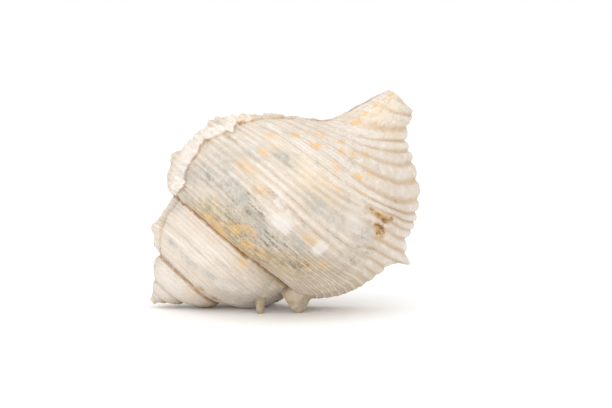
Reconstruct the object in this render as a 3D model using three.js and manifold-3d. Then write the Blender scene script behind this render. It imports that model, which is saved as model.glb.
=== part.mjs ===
// Conch shell: one spiral-grown body with spire, body whorl, varices, fluted outer lip,
// posterior spout, columella and siphonal canal. Millimetres, +Z up. The shell lies on its
// side, spire low at -X, canal high at +X, the back of the body whorl towards -Y and the
// aperture towards +Y. The origin is the middle of the footprint, on the ground.
import * as THREE from 'three';
import { LoftGeometry } from 'three/addons/geometries/LoftGeometry.js';
import { mergeVertices } from 'three/addons/utils/BufferGeometryUtils.js';
import Module from 'manifold-3d';

const RAD = Math.PI / 180;
const AXIS_RISE = 40.4 * RAD;          // the coiling axis climbs this much from apex to canal
const GROWTH_PER_TURN = 2.1;           // every turn of the spire is this much larger
const LAST_STATION = 6;                // growth angle of the outer lip's edge, degrees
const FIRST_STATION = -720;            // above this the spire is a plain scaled copy
const APEX_ANGLE = -1980;              // the first half millimetre of the spire
const PILLAR_RADIUS = 1.4;             // solid columella pillar along the axis
const PILLAR_BORE = 0.9;               // inner radius of the swept whorls, filled by the pillar
const PILLAR_TOP = 1.2;
const PILLAR_END = 79.4;
const PILLAR_TAPER = 0.5;              // radius at the apex as a share of the radius at the canal
const PILLAR_SIDES = 12;
const WELD = 1e-4;                     // corners of two faces closer than this are one corner
const SLIVER = 0.03;                   // edges shorter than this are merged after the cuts
const GROUND = -1.35;                  // level of the worn resting flats, from the axis at the apex
const GROUND_BLOCK = { side: 200, depth: 20 };

// Growth stations: growth angle in degrees, then the outline of the whorl from its suture,
// over the shoulder and the periphery, down the base to the end of the canal. Each point is
// distance along the coiling axis and distance from it.
const STATIONS = [
  { at: -720, line: [[6.9, 6.2], [7.5, 7.9], [8.6, 9.4], [10.1, 10.6], [12, 11.2], [13.8, 11],
    [16, 10], [18.5, 8.5], [21, 6.5], [24, 4.2], [28.8, 2.2], [32.5, 1.5]] },
  { at: -540, line: [[9.6, 7.8], [10.2, 9.5], [11.5, 11.8], [14.2, 13.5], [18.5, 15.2], [22.2, 16.4],
    [24.8, 15.2], [28.8, 12.5], [33.8, 9.5], [41.2, 6], [56.2, 3], [79, 1.6]] },
  { at: -450, line: [[11.6, 9.5], [13, 11.2], [15, 14], [18.5, 16.2], [23, 18], [26.8, 18.5],
    [29, 17], [33.8, 13], [40, 9], [48.8, 5.8], [62.5, 3], [79, 1.6]] },
  { at: -360, line: [[13, 10.8], [15.5, 14], [18, 16.5], [21.5, 18.5], [26, 19.8], [29.8, 19.2],
    [34, 17], [40, 12.5], [48.8, 8.5], [58.8, 5], [70, 2.8], [79, 1.6]] },
  { at: -270, line: [[17.5, 13.5], [19.5, 17], [23, 20.5], [28, 22.5], [34, 22.5], [39.5, 20.8],
    [44, 18.2], [48.2, 15], [53, 11.5], [59.5, 7.5], [70, 3.5], [79.2, 1.8]] },
  { at: -180, line: [[21.8, 16.5], [23, 19.5], [26.8, 22.5], [32.8, 23.5], [39.5, 22.8], [45, 21],
    [49, 19], [53, 16.2], [56.8, 12.5], [61.2, 7], [71, 3.5], [80, 2.2]] },
  { at: -90, line: [[26.8, 18.2], [28.5, 23], [33, 27], [39.5, 29.5], [47.5, 28.8], [54, 25.8],
    [59, 21.5], [63.5, 16], [66.2, 11.5], [69.5, 9], [75.5, 6.5], [81, 3.2]] },
  { at: -45, line: [[29.5, 19], [31, 24], [35.8, 28.5], [41.8, 30.2], [50.8, 28.2], [59, 24.5],
    [62.5, 21], [68, 14.5], [71.5, 9.8], [74, 8], [78, 6.2], [81.5, 3]] },
  { at: -25, line: [[30, 19.2], [31, 24.2], [36.2, 29], [43.2, 30.8], [52.2, 28.5], [60.8, 24.8],
    [64.2, 21], [69.8, 14.8], [73.2, 9.8], [75.5, 8], [79, 6.2], [81.5, 3]] },
  { at: -10, line: [[30, 19.8], [31, 24.5], [36.8, 29.5], [44, 31.5], [52.8, 29.8], [61.5, 26],
    [66, 22], [71.2, 15], [74.2, 10.2], [76.5, 8.2], [79.5, 6.5], [81.5, 3]] },
  { at: LAST_STATION, line: [[29.8, 20.2], [32, 25], [37.5, 30], [45, 32], [53, 31.8], [62.5, 28],
    [68.5, 23.8], [73, 16], [75, 11], [77.5, 8.5], [80, 6.5], [81.5, 3]] },
];
const POINTS = STATIONS[0].line.length;
const SUTURE_SHARE = 0.3;              // sections close on the pillar at this share of the suture's height
const PILLAR_CLEAR = 0.05;             // the outline stays this far outside the pillar bore

// Spiral cords: two to each interval of the outline, so crest and groove follow each other
// every quarter of an interval. They stand out as flutes at the lip and are worn elsewhere.
const STEPS_PER_INTERVAL = 4;
const CORD_HEIGHT = 0.22;
const FLUTE_HEIGHT = 0.5;
const FLUTE_FROM = -40;                // the cords start to rise towards the lip here
const FIRST_FLUTE = 3.6;               // outline position of the first flute, on the periphery
const SPIKE_AT = 4;                    // outline position of the long pointed flute
const SPIKE_HALF = 0.1;
const SPIKE_HEIGHT = 2.4;
const CANAL_FADE = 1.5;                // relief dies out this fast towards the canal's end

// Varices: each is a former lip, a ridge that climbs slowly and breaks off in a step.
const VARICES = [
  { edge: -510, height: 0.9 },
  { edge: -340, height: 1.3 },
  { edge: -150, height: 2.1 },
];
const VARIX_WIDTH = 42;
const VARIX_REACH = 7.5;               // outline position where the ridges run out
const VARIX_CLIMB = 1.5;               // above 1 the ridge climbs late and steep
const VARIX_KNOB = 0.22;               // how much the cords swell where they cross a varix

// Wall of the hollow body whorl.
const HOLLOW_START = -285;
const HOLLOW_OVERRUN = 2;              // degrees past the lip, so that the mouth is cut open
const HOLLOW_SECTIONS = 24;
const HOLLOW_SPACING = 0.5;            // outline positions between the hollow's corners
const WALL_BODY = 2.3;
const WALL_CANAL = 1.1;
const WALL_THINS = [5, 9];             // outline positions between which the wall thins
const CALLUS = 0.7;
const COLUMELLA_FROM = 6;              // outline point where the turn before meets the new wall
const CANAL_OVERRUN = 2.5;
const CANAL_CLEAR = 0.3;               // the canal stays this far off the pillar

// Posterior spout at the top of the aperture, and the peg of the varix before it.
const SPOUT_START = -37;
const SPOUT_FULL = -25;
const SPOUT_LEAD = 6;                  // degrees before its start at which the spout begins to grow
const SPOUT_SECTIONS = 6;
const SPOUT_SHOULDER = 0.62;           // how far down the inner side is full
const SPOUT_BACK = 0.3;                // how far down the outer side is full
const SPOUT_DEPTH = 2;                 // how deep the spout is rooted in the whorl
const SPOUT_INNER = [25.6, 18.5];
const SPOUT_OUTER = [32.4, 24.4];
const SPOUT_TIP_AT = 27.3;             // axial distance of the spout's lowest edge
const SPOUT_TIP_HALF = 1.5;
const SPOUT_ARCH = 1.1;                // the spout's edge lifts between its two resting ends
const SPOUT_BELOW = 0.3;               // the spout reaches this far under the ground before it is cut flat
const GROOVE_START = -16;
const GROOVE_SECTIONS = 3;
const GROOVE_RING = [[28.6, 21], [27, 21.6], [26.6, 23.2], [27.2, 24.6], [28.8, 24.6], [30.2, 23.6],
  [33, 23], [33, 20.6]];
const PEG_ANGLE = -35;
const PEG_AT = 20.1;
const PEG_FOOT_RADIUS = 17;
const PEG_TIP_RADIUS = 23.4;
const PEG_THICK = 1.9;
const PEG_THIN = 1.0;
const PEG_SIDES = 10;

// The runs of whorl that are swept one by one: growth angles, sections and corners to an
// interval. Each of the last four ends at the edge of a varix, where the next starts without
// it, so that the ridge breaks off in a step.
const APEX_RUNS = 5;
const APEX_SECTIONS = 14;
const EDGE_GAP = 0.01;
const RUNS = [
  { from: FIRST_STATION, to: VARICES[0].edge, count: 14, perInterval: 2 },
  { from: VARICES[0].edge + EDGE_GAP, to: VARICES[1].edge, count: 12, perInterval: 2 },
  { from: VARICES[1].edge + EDGE_GAP, to: VARICES[2].edge, count: 15, perInterval: STEPS_PER_INTERVAL },
  { from: VARICES[2].edge + EDGE_GAP, to: LAST_STATION, count: 16, perInterval: STEPS_PER_INTERVAL },
];

const wasm = await Module();
wasm.setup();

// Slopes of a monotone cubic through (x, y), so that stations never overshoot.
function monotoneSlopes(x, y) {
  const last = x.length - 1;
  const rise = [];
  for (let i = 0; i < last; i++) {
    rise.push((y[i + 1] - y[i]) / (x[i + 1] - x[i]));
  }
  const slopes = [rise[0]];
  for (let i = 1; i < last; i++) {
    const before = x[i] - x[i - 1];
    const after = x[i + 1] - x[i];
    const weight = [2 * after + before, after + 2 * before];
    const turns = rise[i - 1] * rise[i] <= 0;
    slopes.push(turns ? 0 : (weight[0] + weight[1]) / (weight[0] / rise[i - 1] + weight[1] / rise[i]));
  }
  slopes.push(rise[last - 1]);
  return slopes;
}

const stationAngles = STATIONS.map((station) => station.at);
const stationSlopes = STATIONS[0].line.map((_, point) => [0, 1].map((axis) => (
  monotoneSlopes(stationAngles, STATIONS.map((station) => station.line[point][axis])))));

// Outline point at a growth angle, between the stations.
function growthPoint(angle, point) {
  if (angle <= FIRST_STATION) {
    const scale = Math.pow(GROWTH_PER_TURN, (angle - FIRST_STATION) / 360);
    return STATIONS[0].line[point].map((value) => value * scale);
  }
  let i = 0;
  while (i < STATIONS.length - 2 && angle > STATIONS[i + 1].at) {
    i++;
  }
  const span = STATIONS[i + 1].at - STATIONS[i].at;
  const t = (angle - STATIONS[i].at) / span;
  const t2 = t * t;
  const t3 = t2 * t;
  return [0, 1].map((axis) => (
    (2 * t3 - 3 * t2 + 1) * STATIONS[i].line[point][axis]
    + (t3 - 2 * t2 + t) * span * stationSlopes[point][axis][i]
    + (3 * t2 - 2 * t3) * STATIONS[i + 1].line[point][axis]
    + (t3 - t2) * span * stationSlopes[point][axis][i + 1]));
}

// The smooth outline of the whorl at a growth angle, as a curve through its points.
function outline(angle) {
  const points = [];
  for (let point = 0; point < POINTS; point++) {
    const [along, out] = growthPoint(angle, point);
    points.push(new THREE.Vector3(along, out, 0));
  }
  return new THREE.CatmullRomCurve3(points, false, 'catmullrom', 0.5);
}

// Point and outward direction at a position on the outline, 0 at the suture.
function outlineSpot(curve, position) {
  const t = THREE.MathUtils.clamp(position / (POINTS - 1), 0, 1);
  const spot = curve.getPoint(t);
  const tangent = curve.getTangent(t);
  return { spot, outward: new THREE.Vector3(-tangent.y, tangent.x, 0) };
}

// Height of the varices at a growth angle.
function varixHeight(angle, position) {
  const across = Math.sin(Math.PI * THREE.MathUtils.clamp(position / VARIX_REACH, 0, 1));
  let height = 0;
  for (const varix of VARICES) {
    const before = (varix.edge - angle) / VARIX_WIDTH;
    if (before >= 0 && before < 1) {
      height += varix.height * across * Math.pow(1 - before, VARIX_CLIMB);
    }
  }
  return height;
}

// How far the sculpture lifts the surface off the smooth outline.
function relief(angle, position) {
  const crest = Math.cos(4 * Math.PI * position);
  const atLip = Math.pow(THREE.MathUtils.clamp((angle - FLUTE_FROM) / (LAST_STATION - FLUTE_FROM), 0, 1), 2);
  const ends = Math.min(1, position, CANAL_FADE * (POINTS - 1 - position));
  const grown = Math.min(1, Math.pow(GROWTH_PER_TURN, angle / 360));
  const flutes = position > FIRST_FLUTE ? FLUTE_HEIGHT * atLip : 0;
  const spike = Math.abs(position - SPIKE_AT) < SPIKE_HALF ? SPIKE_HEIGHT * atLip : 0;
  const varix = varixHeight(angle, position);
  return ends * (crest * (CORD_HEIGHT * grown + flutes + VARIX_KNOB * varix) + varix + spike);
}

// Shell coordinates (along the axis, from the axis, growth angle) to the resting frame.
function place(along, out, angle) {
  const down = out * Math.cos(angle * RAD);
  return new THREE.Vector3(
    along * Math.cos(AXIS_RISE) + down * Math.sin(AXIS_RISE),
    out * Math.sin(angle * RAD),
    along * Math.sin(AXIS_RISE) - down * Math.cos(AXIS_RISE),
  );
}

// A closed solid from a closed surface.
function solidOf(geometry) {
  const bare = new THREE.BufferGeometry();
  bare.setAttribute('position', geometry.toNonIndexed().getAttribute('position'));
  const merged = mergeVertices(bare, WELD);
  return new wasm.Manifold(new wasm.Mesh({
    numProp: 3,
    vertProperties: merged.getAttribute('position').array,
    triVerts: new Uint32Array(merged.index.array),
  }));
}

// A closed solid through sections that are given as [along, out] rings by growth angle.
function sweep(angles, ringAt) {
  const sections = angles.map((angle) => (
    ringAt(angle).toReversed().map(([along, out]) => place(along, out, angle))));
  return solidOf(new LoftGeometry(sections, { capStart: true, capEnd: true }));
}

// Evenly spaced values from one number to another, both included.
function steps(from, to, count) {
  return Array.from({ length: count + 1 }, (_, i) => from + (to - from) * i / count);
}

// One whorl section: the sculptured outline, closed along the pillar.
function whorlRing(angle, perInterval) {
  const curve = outline(angle);
  const ring = [];
  for (let i = 0; i <= (POINTS - 1) * perInterval; i++) {
    const position = i / perInterval;
    const { spot, outward } = outlineSpot(curve, position);
    const lift = perInterval === STEPS_PER_INTERVAL ? relief(angle, position) : varixHeight(angle, position);
    ring.push([spot.x + outward.x * lift, Math.max(spot.y + outward.y * lift, PILLAR_BORE + PILLAR_CLEAR)]);
  }
  const bottom = ring[ring.length - 1][0];
  ring.push([bottom, PILLAR_BORE * Math.min(1, ring[0][1])]);
  ring.push([SUTURE_SHARE * ring[0][0], PILLAR_BORE * Math.min(1, ring[0][1])]);
  return ring;
}

// The hollow: the outline set in by the wall, closed along the columella of the turn before.
function hollowRing(angle) {
  const curve = outline(angle);
  const ring = [];
  for (let position = 1; position <= POINTS - 2; position += HOLLOW_SPACING) {
    const wall = THREE.MathUtils.lerp(WALL_BODY, WALL_CANAL, THREE.MathUtils.smoothstep(position, ...WALL_THINS));
    const { spot, outward } = outlineSpot(curve, position);
    ring.push([spot.x - outward.x * wall, spot.y - outward.y * wall]);
  }
  const end = growthPoint(angle, POINTS - 1);
  ring.push([end[0] + CANAL_OVERRUN, Math.max(end[1] - WALL_CANAL, PILLAR_RADIUS + CANAL_CLEAR)]);
  ring.push([end[0] + CANAL_OVERRUN, PILLAR_BORE]);
  ring.push([end[0] - CANAL_OVERRUN, PILLAR_BORE]);
  for (let point = POINTS - 2; point >= COLUMELLA_FROM; point--) {
    const [along, out] = growthPoint(angle - 360, point);
    ring.push([along, out + CALLUS]);
  }
  return ring;
}

// Axial distance and radius that reach the ground at a growth angle.
function groundRadius(along, angle) {
  return (along * Math.sin(AXIS_RISE) - GROUND + SPOUT_BELOW) / (Math.cos(AXIS_RISE) * Math.cos(angle * RAD));
}

// One section of the spout: a rounded wedge that reaches down to the ground.
function spoutRing(angle) {
  const full = THREE.MathUtils.smoothstep(angle, SPOUT_START - SPOUT_LEAD, SPOUT_FULL);
  const along = THREE.MathUtils.clamp((angle - SPOUT_FULL) / (LAST_STATION - SPOUT_FULL), 0, 1);
  const reach = groundRadius(SPOUT_TIP_AT, angle) - SPOUT_ARCH * Math.sin(Math.PI * along);
  const tip = THREE.MathUtils.lerp(SPOUT_OUTER[1] - 1, reach, full);
  const shoulder = THREE.MathUtils.lerp(SPOUT_INNER[1], tip, SPOUT_SHOULDER);
  return [
    [SPOUT_INNER[0], SPOUT_INNER[1] - SPOUT_DEPTH],
    [SPOUT_INNER[0] - 0.3, SPOUT_INNER[1]],
    [SPOUT_INNER[0] + 0.2, shoulder],
    [SPOUT_TIP_AT - SPOUT_TIP_HALF, tip],
    [SPOUT_TIP_AT + SPOUT_TIP_HALF, tip],
    [SPOUT_OUTER[0] - 0.9, THREE.MathUtils.lerp(SPOUT_OUTER[1], tip, SPOUT_BACK)],
    SPOUT_OUTER,
    [SPOUT_OUTER[0], SPOUT_INNER[1] - SPOUT_DEPTH],
  ];
}

// The peg under the whorl before: a short blunt cone that stands on the ground.
function peg() {
  const foot = place(PEG_AT, PEG_FOOT_RADIUS, PEG_ANGLE);
  const tip = place(PEG_AT, PEG_TIP_RADIUS, PEG_ANGLE);
  const direction = tip.clone().sub(foot);
  const cone = new THREE.CylinderGeometry(PEG_THIN, PEG_THICK, direction.length(), PEG_SIDES);
  const turn = new THREE.Quaternion().setFromUnitVectors(
    new THREE.Vector3(0, 1, 0), direction.clone().normalize());
  cone.applyQuaternion(turn);
  const middle = foot.add(tip).multiplyScalar(0.5);
  cone.translate(middle.x, middle.y, middle.z);
  return solidOf(cone);
}

// The solid pillar of the columella, thinner towards the apex.
function pillar() {
  const length = PILLAR_END - PILLAR_TOP;
  const rod = new THREE.CylinderGeometry(PILLAR_RADIUS, PILLAR_RADIUS * PILLAR_TAPER, length, PILLAR_SIDES);
  rod.rotateZ(-Math.PI / 2);
  rod.translate(PILLAR_TOP + length / 2, 0, 0);
  rod.rotateY(-AXIS_RISE);
  return solidOf(rod);
}

// Whorls from the apex to the lip, with the spout and the peg.
function outside() {
  let solid = pillar();
  const apexTurns = steps(APEX_ANGLE, FIRST_STATION, APEX_RUNS);
  for (let i = 0; i < APEX_RUNS; i++) {
    const angles = steps(apexTurns[i], apexTurns[i + 1], APEX_SECTIONS);
    solid = solid.add(sweep(angles, (angle) => whorlRing(angle, 1)));
  }
  for (const run of RUNS) {
    solid = solid.add(sweep(steps(run.from, run.to, run.count), (angle) => whorlRing(angle, run.perInterval)));
  }
  return solid
    .add(sweep(steps(SPOUT_START, LAST_STATION, SPOUT_SECTIONS), spoutRing))
    .add(peg());
}

// The shell: the outside less the hollow, the groove inside the spout and all below ground.
function conch() {
  const hollow = sweep(steps(HOLLOW_START, LAST_STATION + HOLLOW_OVERRUN, HOLLOW_SECTIONS), hollowRing);
  const groove = sweep(steps(GROOVE_START, LAST_STATION + HOLLOW_OVERRUN, GROOVE_SECTIONS), () => GROOVE_RING);
  const underGround = new THREE.BoxGeometry(GROUND_BLOCK.side, GROUND_BLOCK.side, GROUND_BLOCK.depth)
    .translate(0, 0, GROUND - GROUND_BLOCK.depth / 2);
  const cut = outside().subtract(hollow).subtract(groove).subtract(solidOf(underGround));
  return cut.simplify(SLIVER).decompose().sort((one, other) => other.volume() - one.volume())[0];
}

// The surface of the solid, moved so that it stands centred on the ground.
function toGeometry(solid) {
  const mesh = solid.getMesh();
  const geometry = new THREE.BufferGeometry();
  geometry.setAttribute('position', new THREE.BufferAttribute(mesh.vertProperties.slice(), 3));
  geometry.setIndex(new THREE.BufferAttribute(mesh.triVerts.slice(), 1));
  geometry.computeBoundingBox();
  const { min, max } = geometry.boundingBox;
  geometry.translate(-(min.x + max.x) / 2, -(min.y + max.y) / 2, -min.z);
  geometry.computeVertexNormals();
  return geometry;
}

const shellMaterial = new THREE.MeshStandardMaterial({ color: 0xe2d8c8, roughness: 0.62, metalness: 0 });
const shell = new THREE.Mesh(toGeometry(conch()), shellMaterial);
shell.name = 'shell';

const root = new THREE.Group();
root.add(shell);

export default root;
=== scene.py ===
"""Conch shell lying on its side: the grown body, its worn and stained finish, a pale floor and soft light."""

import logging
import math
from dataclasses import dataclass, field
from enum import Enum

import bmesh
import bpy
import numpy as np
from mathutils import Matrix, Vector, kdtree


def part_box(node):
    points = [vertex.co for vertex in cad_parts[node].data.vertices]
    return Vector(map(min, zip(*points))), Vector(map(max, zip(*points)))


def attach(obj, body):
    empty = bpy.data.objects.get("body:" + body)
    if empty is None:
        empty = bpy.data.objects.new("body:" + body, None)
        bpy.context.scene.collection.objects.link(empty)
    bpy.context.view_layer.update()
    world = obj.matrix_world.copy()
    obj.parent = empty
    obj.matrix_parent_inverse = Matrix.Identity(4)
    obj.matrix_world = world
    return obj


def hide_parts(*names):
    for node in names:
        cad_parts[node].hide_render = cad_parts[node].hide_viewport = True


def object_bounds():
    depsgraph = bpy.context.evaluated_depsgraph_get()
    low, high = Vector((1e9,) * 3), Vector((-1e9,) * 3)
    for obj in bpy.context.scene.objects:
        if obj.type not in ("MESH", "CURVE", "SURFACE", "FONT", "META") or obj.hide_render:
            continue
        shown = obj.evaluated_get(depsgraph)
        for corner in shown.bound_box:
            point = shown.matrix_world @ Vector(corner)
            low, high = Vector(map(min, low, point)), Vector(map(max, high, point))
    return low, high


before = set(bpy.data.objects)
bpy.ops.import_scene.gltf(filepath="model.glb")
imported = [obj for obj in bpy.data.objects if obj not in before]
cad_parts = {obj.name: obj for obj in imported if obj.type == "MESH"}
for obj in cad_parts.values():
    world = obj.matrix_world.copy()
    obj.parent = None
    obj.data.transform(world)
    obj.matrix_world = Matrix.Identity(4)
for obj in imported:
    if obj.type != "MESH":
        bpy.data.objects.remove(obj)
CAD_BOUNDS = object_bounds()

LOG = logging.getLogger("conch")
MM = 0.001
PIECE = "conch"
CAD_NODE = "shell"

Array = np.ndarray
Colour = tuple[float, float, float, float]
Curve = tuple[tuple[float, ...], tuple[float, ...]]
Rounds = tuple[tuple[float, float], ...]
WHITE: Colour = (1.0, 1.0, 1.0, 1.0)


def smooth_step(value: Array, low: float, high: float) -> Array:
    """Rise smoothly from 0 at low to 1 at high."""
    t = np.clip((value - low) / (high - low), 0.0, 1.0)
    return t * t * (3.0 - 2.0 * t)


def shade(red: int, green: int, blue: int) -> Colour:
    """Turn a paint-chart colour, 0 to 255 a channel, into the linear colour that a shader takes."""
    linear = [((c / 255 + 0.055) / 1.055) ** 2.4 if c > 10 else c / 255 / 12.92 for c in (red, green, blue)]
    return (linear[0], linear[1], linear[2], 1.0)


def mesh_of(bm: bmesh.types.BMesh, name: str) -> bpy.types.Mesh:
    """Turn finished geometry into a named mesh.

    Args:
        bm: The geometry, freed afterwards.
        name: The mesh's name.

    Returns:
        The mesh.
    """
    mesh = bpy.data.meshes.new(name)
    bm.to_mesh(mesh)
    bm.free()
    return mesh


def add(name: str, data: bpy.types.ID) -> bpy.types.Object:
    """Add an object to the scene.

    Args:
        name: The object's name.
        data: Its mesh, light or camera.

    Returns:
        The object.
    """
    ob = bpy.data.objects.new(name, data)
    bpy.context.scene.collection.objects.link(ob)
    return ob


class Grain:
    """Smooth repeatable unevenness over a plane, from a table of seeded random heights."""

    SIDE = 256

    def __init__(self, seed: int) -> None:
        """Fill the table with the heights that a seed fixes."""
        self.table = np.random.default_rng(seed).uniform(-1.0, 1.0, (self.SIDE, self.SIDE))

    def at(self, u: Array, v: Array) -> Array:
        """Read the height between the table's entries.

        Args:
            u: First coordinate, one table entry a unit.
            v: Second coordinate, one table entry a unit.

        Returns:
            Heights from -1 to 1.
        """
        u, v = np.broadcast_arrays(u, v)
        u0, v0 = np.floor(u).astype(int), np.floor(v).astype(int)
        fu, fv = smooth_step(u - u0, 0.0, 1.0), smooth_step(v - v0, 0.0, 1.0)
        side = self.SIDE
        corner = [[self.table[(u0 + i) % side, (v0 + j) % side] for j in (0, 1)] for i in (0, 1)]
        low = corner[0][0] * (1 - fv) + corner[0][1] * fv
        high = corner[1][0] * (1 - fv) + corner[1][1] * fv
        return low * (1 - fu) + high * fu

    def layered(self, u: Array, v: Array, layers: int) -> Array:
        """Add finer and weaker layers of unevenness.

        Args:
            u: First coordinate.
            v: Second coordinate.
            layers: How many layers, each twice as fine and half as strong.

        Returns:
            Heights from about -1 to 1.
        """
        total = np.zeros(np.broadcast(u, v).shape)
        for layer in range(layers):
            total += self.at(u * 2**layer + 17.3 * layer, v * 2**layer + 5.1 * layer) / 2**layer
        return total / (2 - 0.5 ** (layers - 1))


@dataclass(frozen=True)
class Station:
    """One outline of the whorl: its growth angle and its twelve points, along and out in mm."""

    growth: float
    line: tuple[tuple[float, float], ...]


STATIONS = (
    Station(-720, ((6.3, 5.2), (7.2, 6.8), (8.5, 8.5), (10.2, 10.2), (12, 11.2), (13.8, 11),
                   (16, 10), (18.5, 8.5), (21, 6.5), (24, 4.2), (28.8, 2.2), (32.5, 1.5))),
    Station(-540, ((9.6, 7.8), (10.2, 9.5), (11.5, 11.8), (14.2, 13.5), (18.5, 15.2), (22.2, 16.4),
                   (24.8, 15.2), (28.8, 12.5), (33.8, 9.5), (41.2, 6), (56.2, 3), (79, 1.6))),
    Station(-450, ((11.6, 9.5), (13, 11.2), (15, 14), (18.5, 16.2), (23, 18), (26.8, 18.5),
                   (29, 17), (33.8, 13), (40, 9), (48.8, 5.8), (62.5, 3), (79, 1.6))),
    Station(-360, ((13, 10.8), (15.5, 14), (18, 16.5), (21.5, 18.5), (26, 19.8), (29.8, 19.2),
                   (34, 17), (40, 12.5), (48.8, 8.5), (58.8, 5), (70, 2.8), (79, 1.6))),
    Station(-270, ((17.5, 13.5), (19.5, 17), (23, 20.5), (28, 22.5), (34, 22.5), (39.5, 20.8),
                   (44, 18.2), (48.2, 15), (53, 11.5), (59.5, 7.5), (70, 3.5), (79.2, 1.8))),
    Station(-180, ((21.8, 16.5), (23, 19.5), (26.8, 22.5), (32.8, 23.5), (39.5, 22.8), (45, 21),
                   (49, 19), (53, 16.2), (56.8, 12.5), (61.2, 7), (71, 3.5), (80, 2.2))),
    Station(-90, ((26.8, 18.2), (28.5, 23), (33, 27), (39.5, 29.5), (47.5, 28.8), (54, 25.8),
                  (59, 21.5), (63.5, 16), (66.2, 11.5), (69.5, 9), (75.5, 6.5), (81, 3.2))),
    Station(-45, ((29.5, 19), (31, 24), (35.8, 28.5), (41.8, 30.2), (50.8, 28.2), (59, 24.5),
                  (62.5, 21), (68, 14.5), (71.5, 9.8), (74, 8), (78, 6.2), (81.5, 3))),
    Station(-25, ((30, 19.2), (31, 24.2), (36.2, 29), (43.2, 30.8), (52.2, 28.5), (60.8, 24.8),
                  (64.2, 21), (69.8, 14.8), (73.2, 9.8), (75.5, 8), (79, 6.2), (81.5, 3))),
    Station(-10, ((30, 19.8), (31, 24.5), (36.8, 29.5), (44, 31.5), (52.8, 29.8), (61.5, 26),
                  (66, 22), (71.2, 15), (74.2, 10.2), (76.5, 8.2), (79.5, 6.5), (81.5, 3))),
    Station(6, ((29.8, 20.2), (32, 25), (37.5, 30), (45, 32), (53, 31.8), (62.5, 28),
                (68.5, 23.8), (73, 16), (75, 11), (77.5, 8.5), (80, 6.5), (81.5, 3))),
)
FIRST = STATIONS[0].growth  # growth angle of the first outline; older shell repeats it, smaller
LIP = STATIONS[-1].growth
APEX = -1980.0  # growth angle of the spire's tip
LAST_LINE = len(STATIONS[0].line) - 1  # outline position of the canal's tip
STAND = -1.0  # outline position that marks the spout, its groove and the peg
BORE = 0.9  # radius of the pillar's core, mm
TURN_GROWTH = 2.1  # how many times larger than the turn before each turn is


@dataclass
class GrowthForm:
    """The smooth spiral that the shell grows along, in coordinates of growth angle and outline position."""

    rise: float = math.radians(40.4)
    middle: tuple[float, float] = (33.894, -3.425)
    ground: float = -1.35
    angles: Array = field(default_factory=lambda: np.array([s.growth for s in STATIONS], float))
    points: Array = field(default_factory=lambda: np.array([s.line for s in STATIONS], float))
    slopes: Array = field(init=False)
    origin: Array = field(init=False)

    def __post_init__(self) -> None:
        """Work out the slopes between stations and where the form stands in the frame."""
        step = np.diff(self.angles)[:, None, None]
        rises = np.diff(self.points, axis=0) / step
        before, after = step[:-1], step[1:]
        w1, w2 = 2 * after + before, after + 2 * before
        with np.errstate(divide="ignore", invalid="ignore"):
            inner = (w1 + w2) / (w1 / rises[:-1] + w2 / rises[1:])
        inner = np.where(rises[:-1] * rises[1:] <= 0, 0.0, inner)
        self.slopes = np.concatenate([rises[:1], inner, rises[-1:]])
        low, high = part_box(CAD_NODE)
        self.origin = np.array([
            (low.x + high.x) / 2 - self.middle[0] * MM,
            (low.y + high.y) / 2 - self.middle[1] * MM,
            low.z - self.ground * MM,
        ])

    def marks(self, growth: Array) -> Array:
        """Find the outline's twelve points at growth angles.

        Args:
            growth: Growth angles in degrees, one a row of the result.

        Returns:
            Points as (angles, twelve, two), in mm.
        """
        held = np.clip(growth, FIRST, LIP + 6)
        i = np.clip(np.searchsorted(self.angles, held, side="left") - 1, 0, len(self.angles) - 2)
        span = (self.angles[i + 1] - self.angles[i])[:, None, None]
        t = ((held - self.angles[i])[:, None, None]) / span
        found = ((2 * t**3 - 3 * t**2 + 1) * self.points[i] + (t**3 - 2 * t**2 + t) * span * self.slopes[i]
                 + (3 * t**2 - 2 * t**3) * self.points[i + 1] + (t**3 - t**2) * span * self.slopes[i + 1])
        scale = TURN_GROWTH ** (np.minimum(growth - FIRST, 0.0) / 360)
        return found * scale[:, None, None]

    def outline(self, growth: Array, line: Array) -> tuple[Array, Array]:
        """Find the smooth outline and the direction out of it.

        Args:
            growth: Growth angles, of any shape.
            line: Outline positions from 0 at the suture to 11 at the canal's end, of the same shape.

        Returns:
            Spots and outward directions, with a last axis of two: along and out.
        """
        marks = self.marks(growth.ravel())
        padded = np.concatenate([
            2 * marks[:, :1] - marks[:, 1:2], marks, 2 * marks[:, -1:] - marks[:, -2:-1]], axis=1)
        i = np.clip(np.floor(line.ravel()).astype(int), 0, LAST_LINE - 1)
        row = np.arange(len(i))
        t = (line.ravel() - i)[:, None]
        p0, p1, p2, p3 = (padded[row, i + k] for k in range(4))
        a, b = 0.5 * (p2 - p0), 0.5 * (p3 - p1)
        c2, c3 = -3 * p1 + 3 * p2 - 2 * a - b, 2 * p1 - 2 * p2 + a + b
        spot = p1 + a * t + c2 * t**2 + c3 * t**3
        tangent = a + 2 * c2 * t + 3 * c3 * t**2
        tangent /= np.linalg.norm(tangent, axis=1, keepdims=True)
        outward = np.stack([-tangent[:, 1], tangent[:, 0]], axis=1)
        return spot.reshape(*growth.shape, 2), outward.reshape(*growth.shape, 2)

    def place(self, along: Array, out: Array, growth: Array) -> Array:
        """Turn distances along and out from the axis, at growth angles, into places in the frame.

        Args:
            along: Distance along the coiling axis, mm.
            out: Distance from the axis, mm.
            growth: Growth angle, degrees.

        Returns:
            Places in metres, with a last axis of three.
        """
        turn = np.radians(growth)
        down = out * np.cos(turn)
        ca, sa = math.cos(self.rise), math.sin(self.rise)
        spot = np.stack([along * ca + down * sa, out * np.sin(turn), along * sa - down * ca], axis=-1)
        return spot * MM + self.origin


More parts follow.
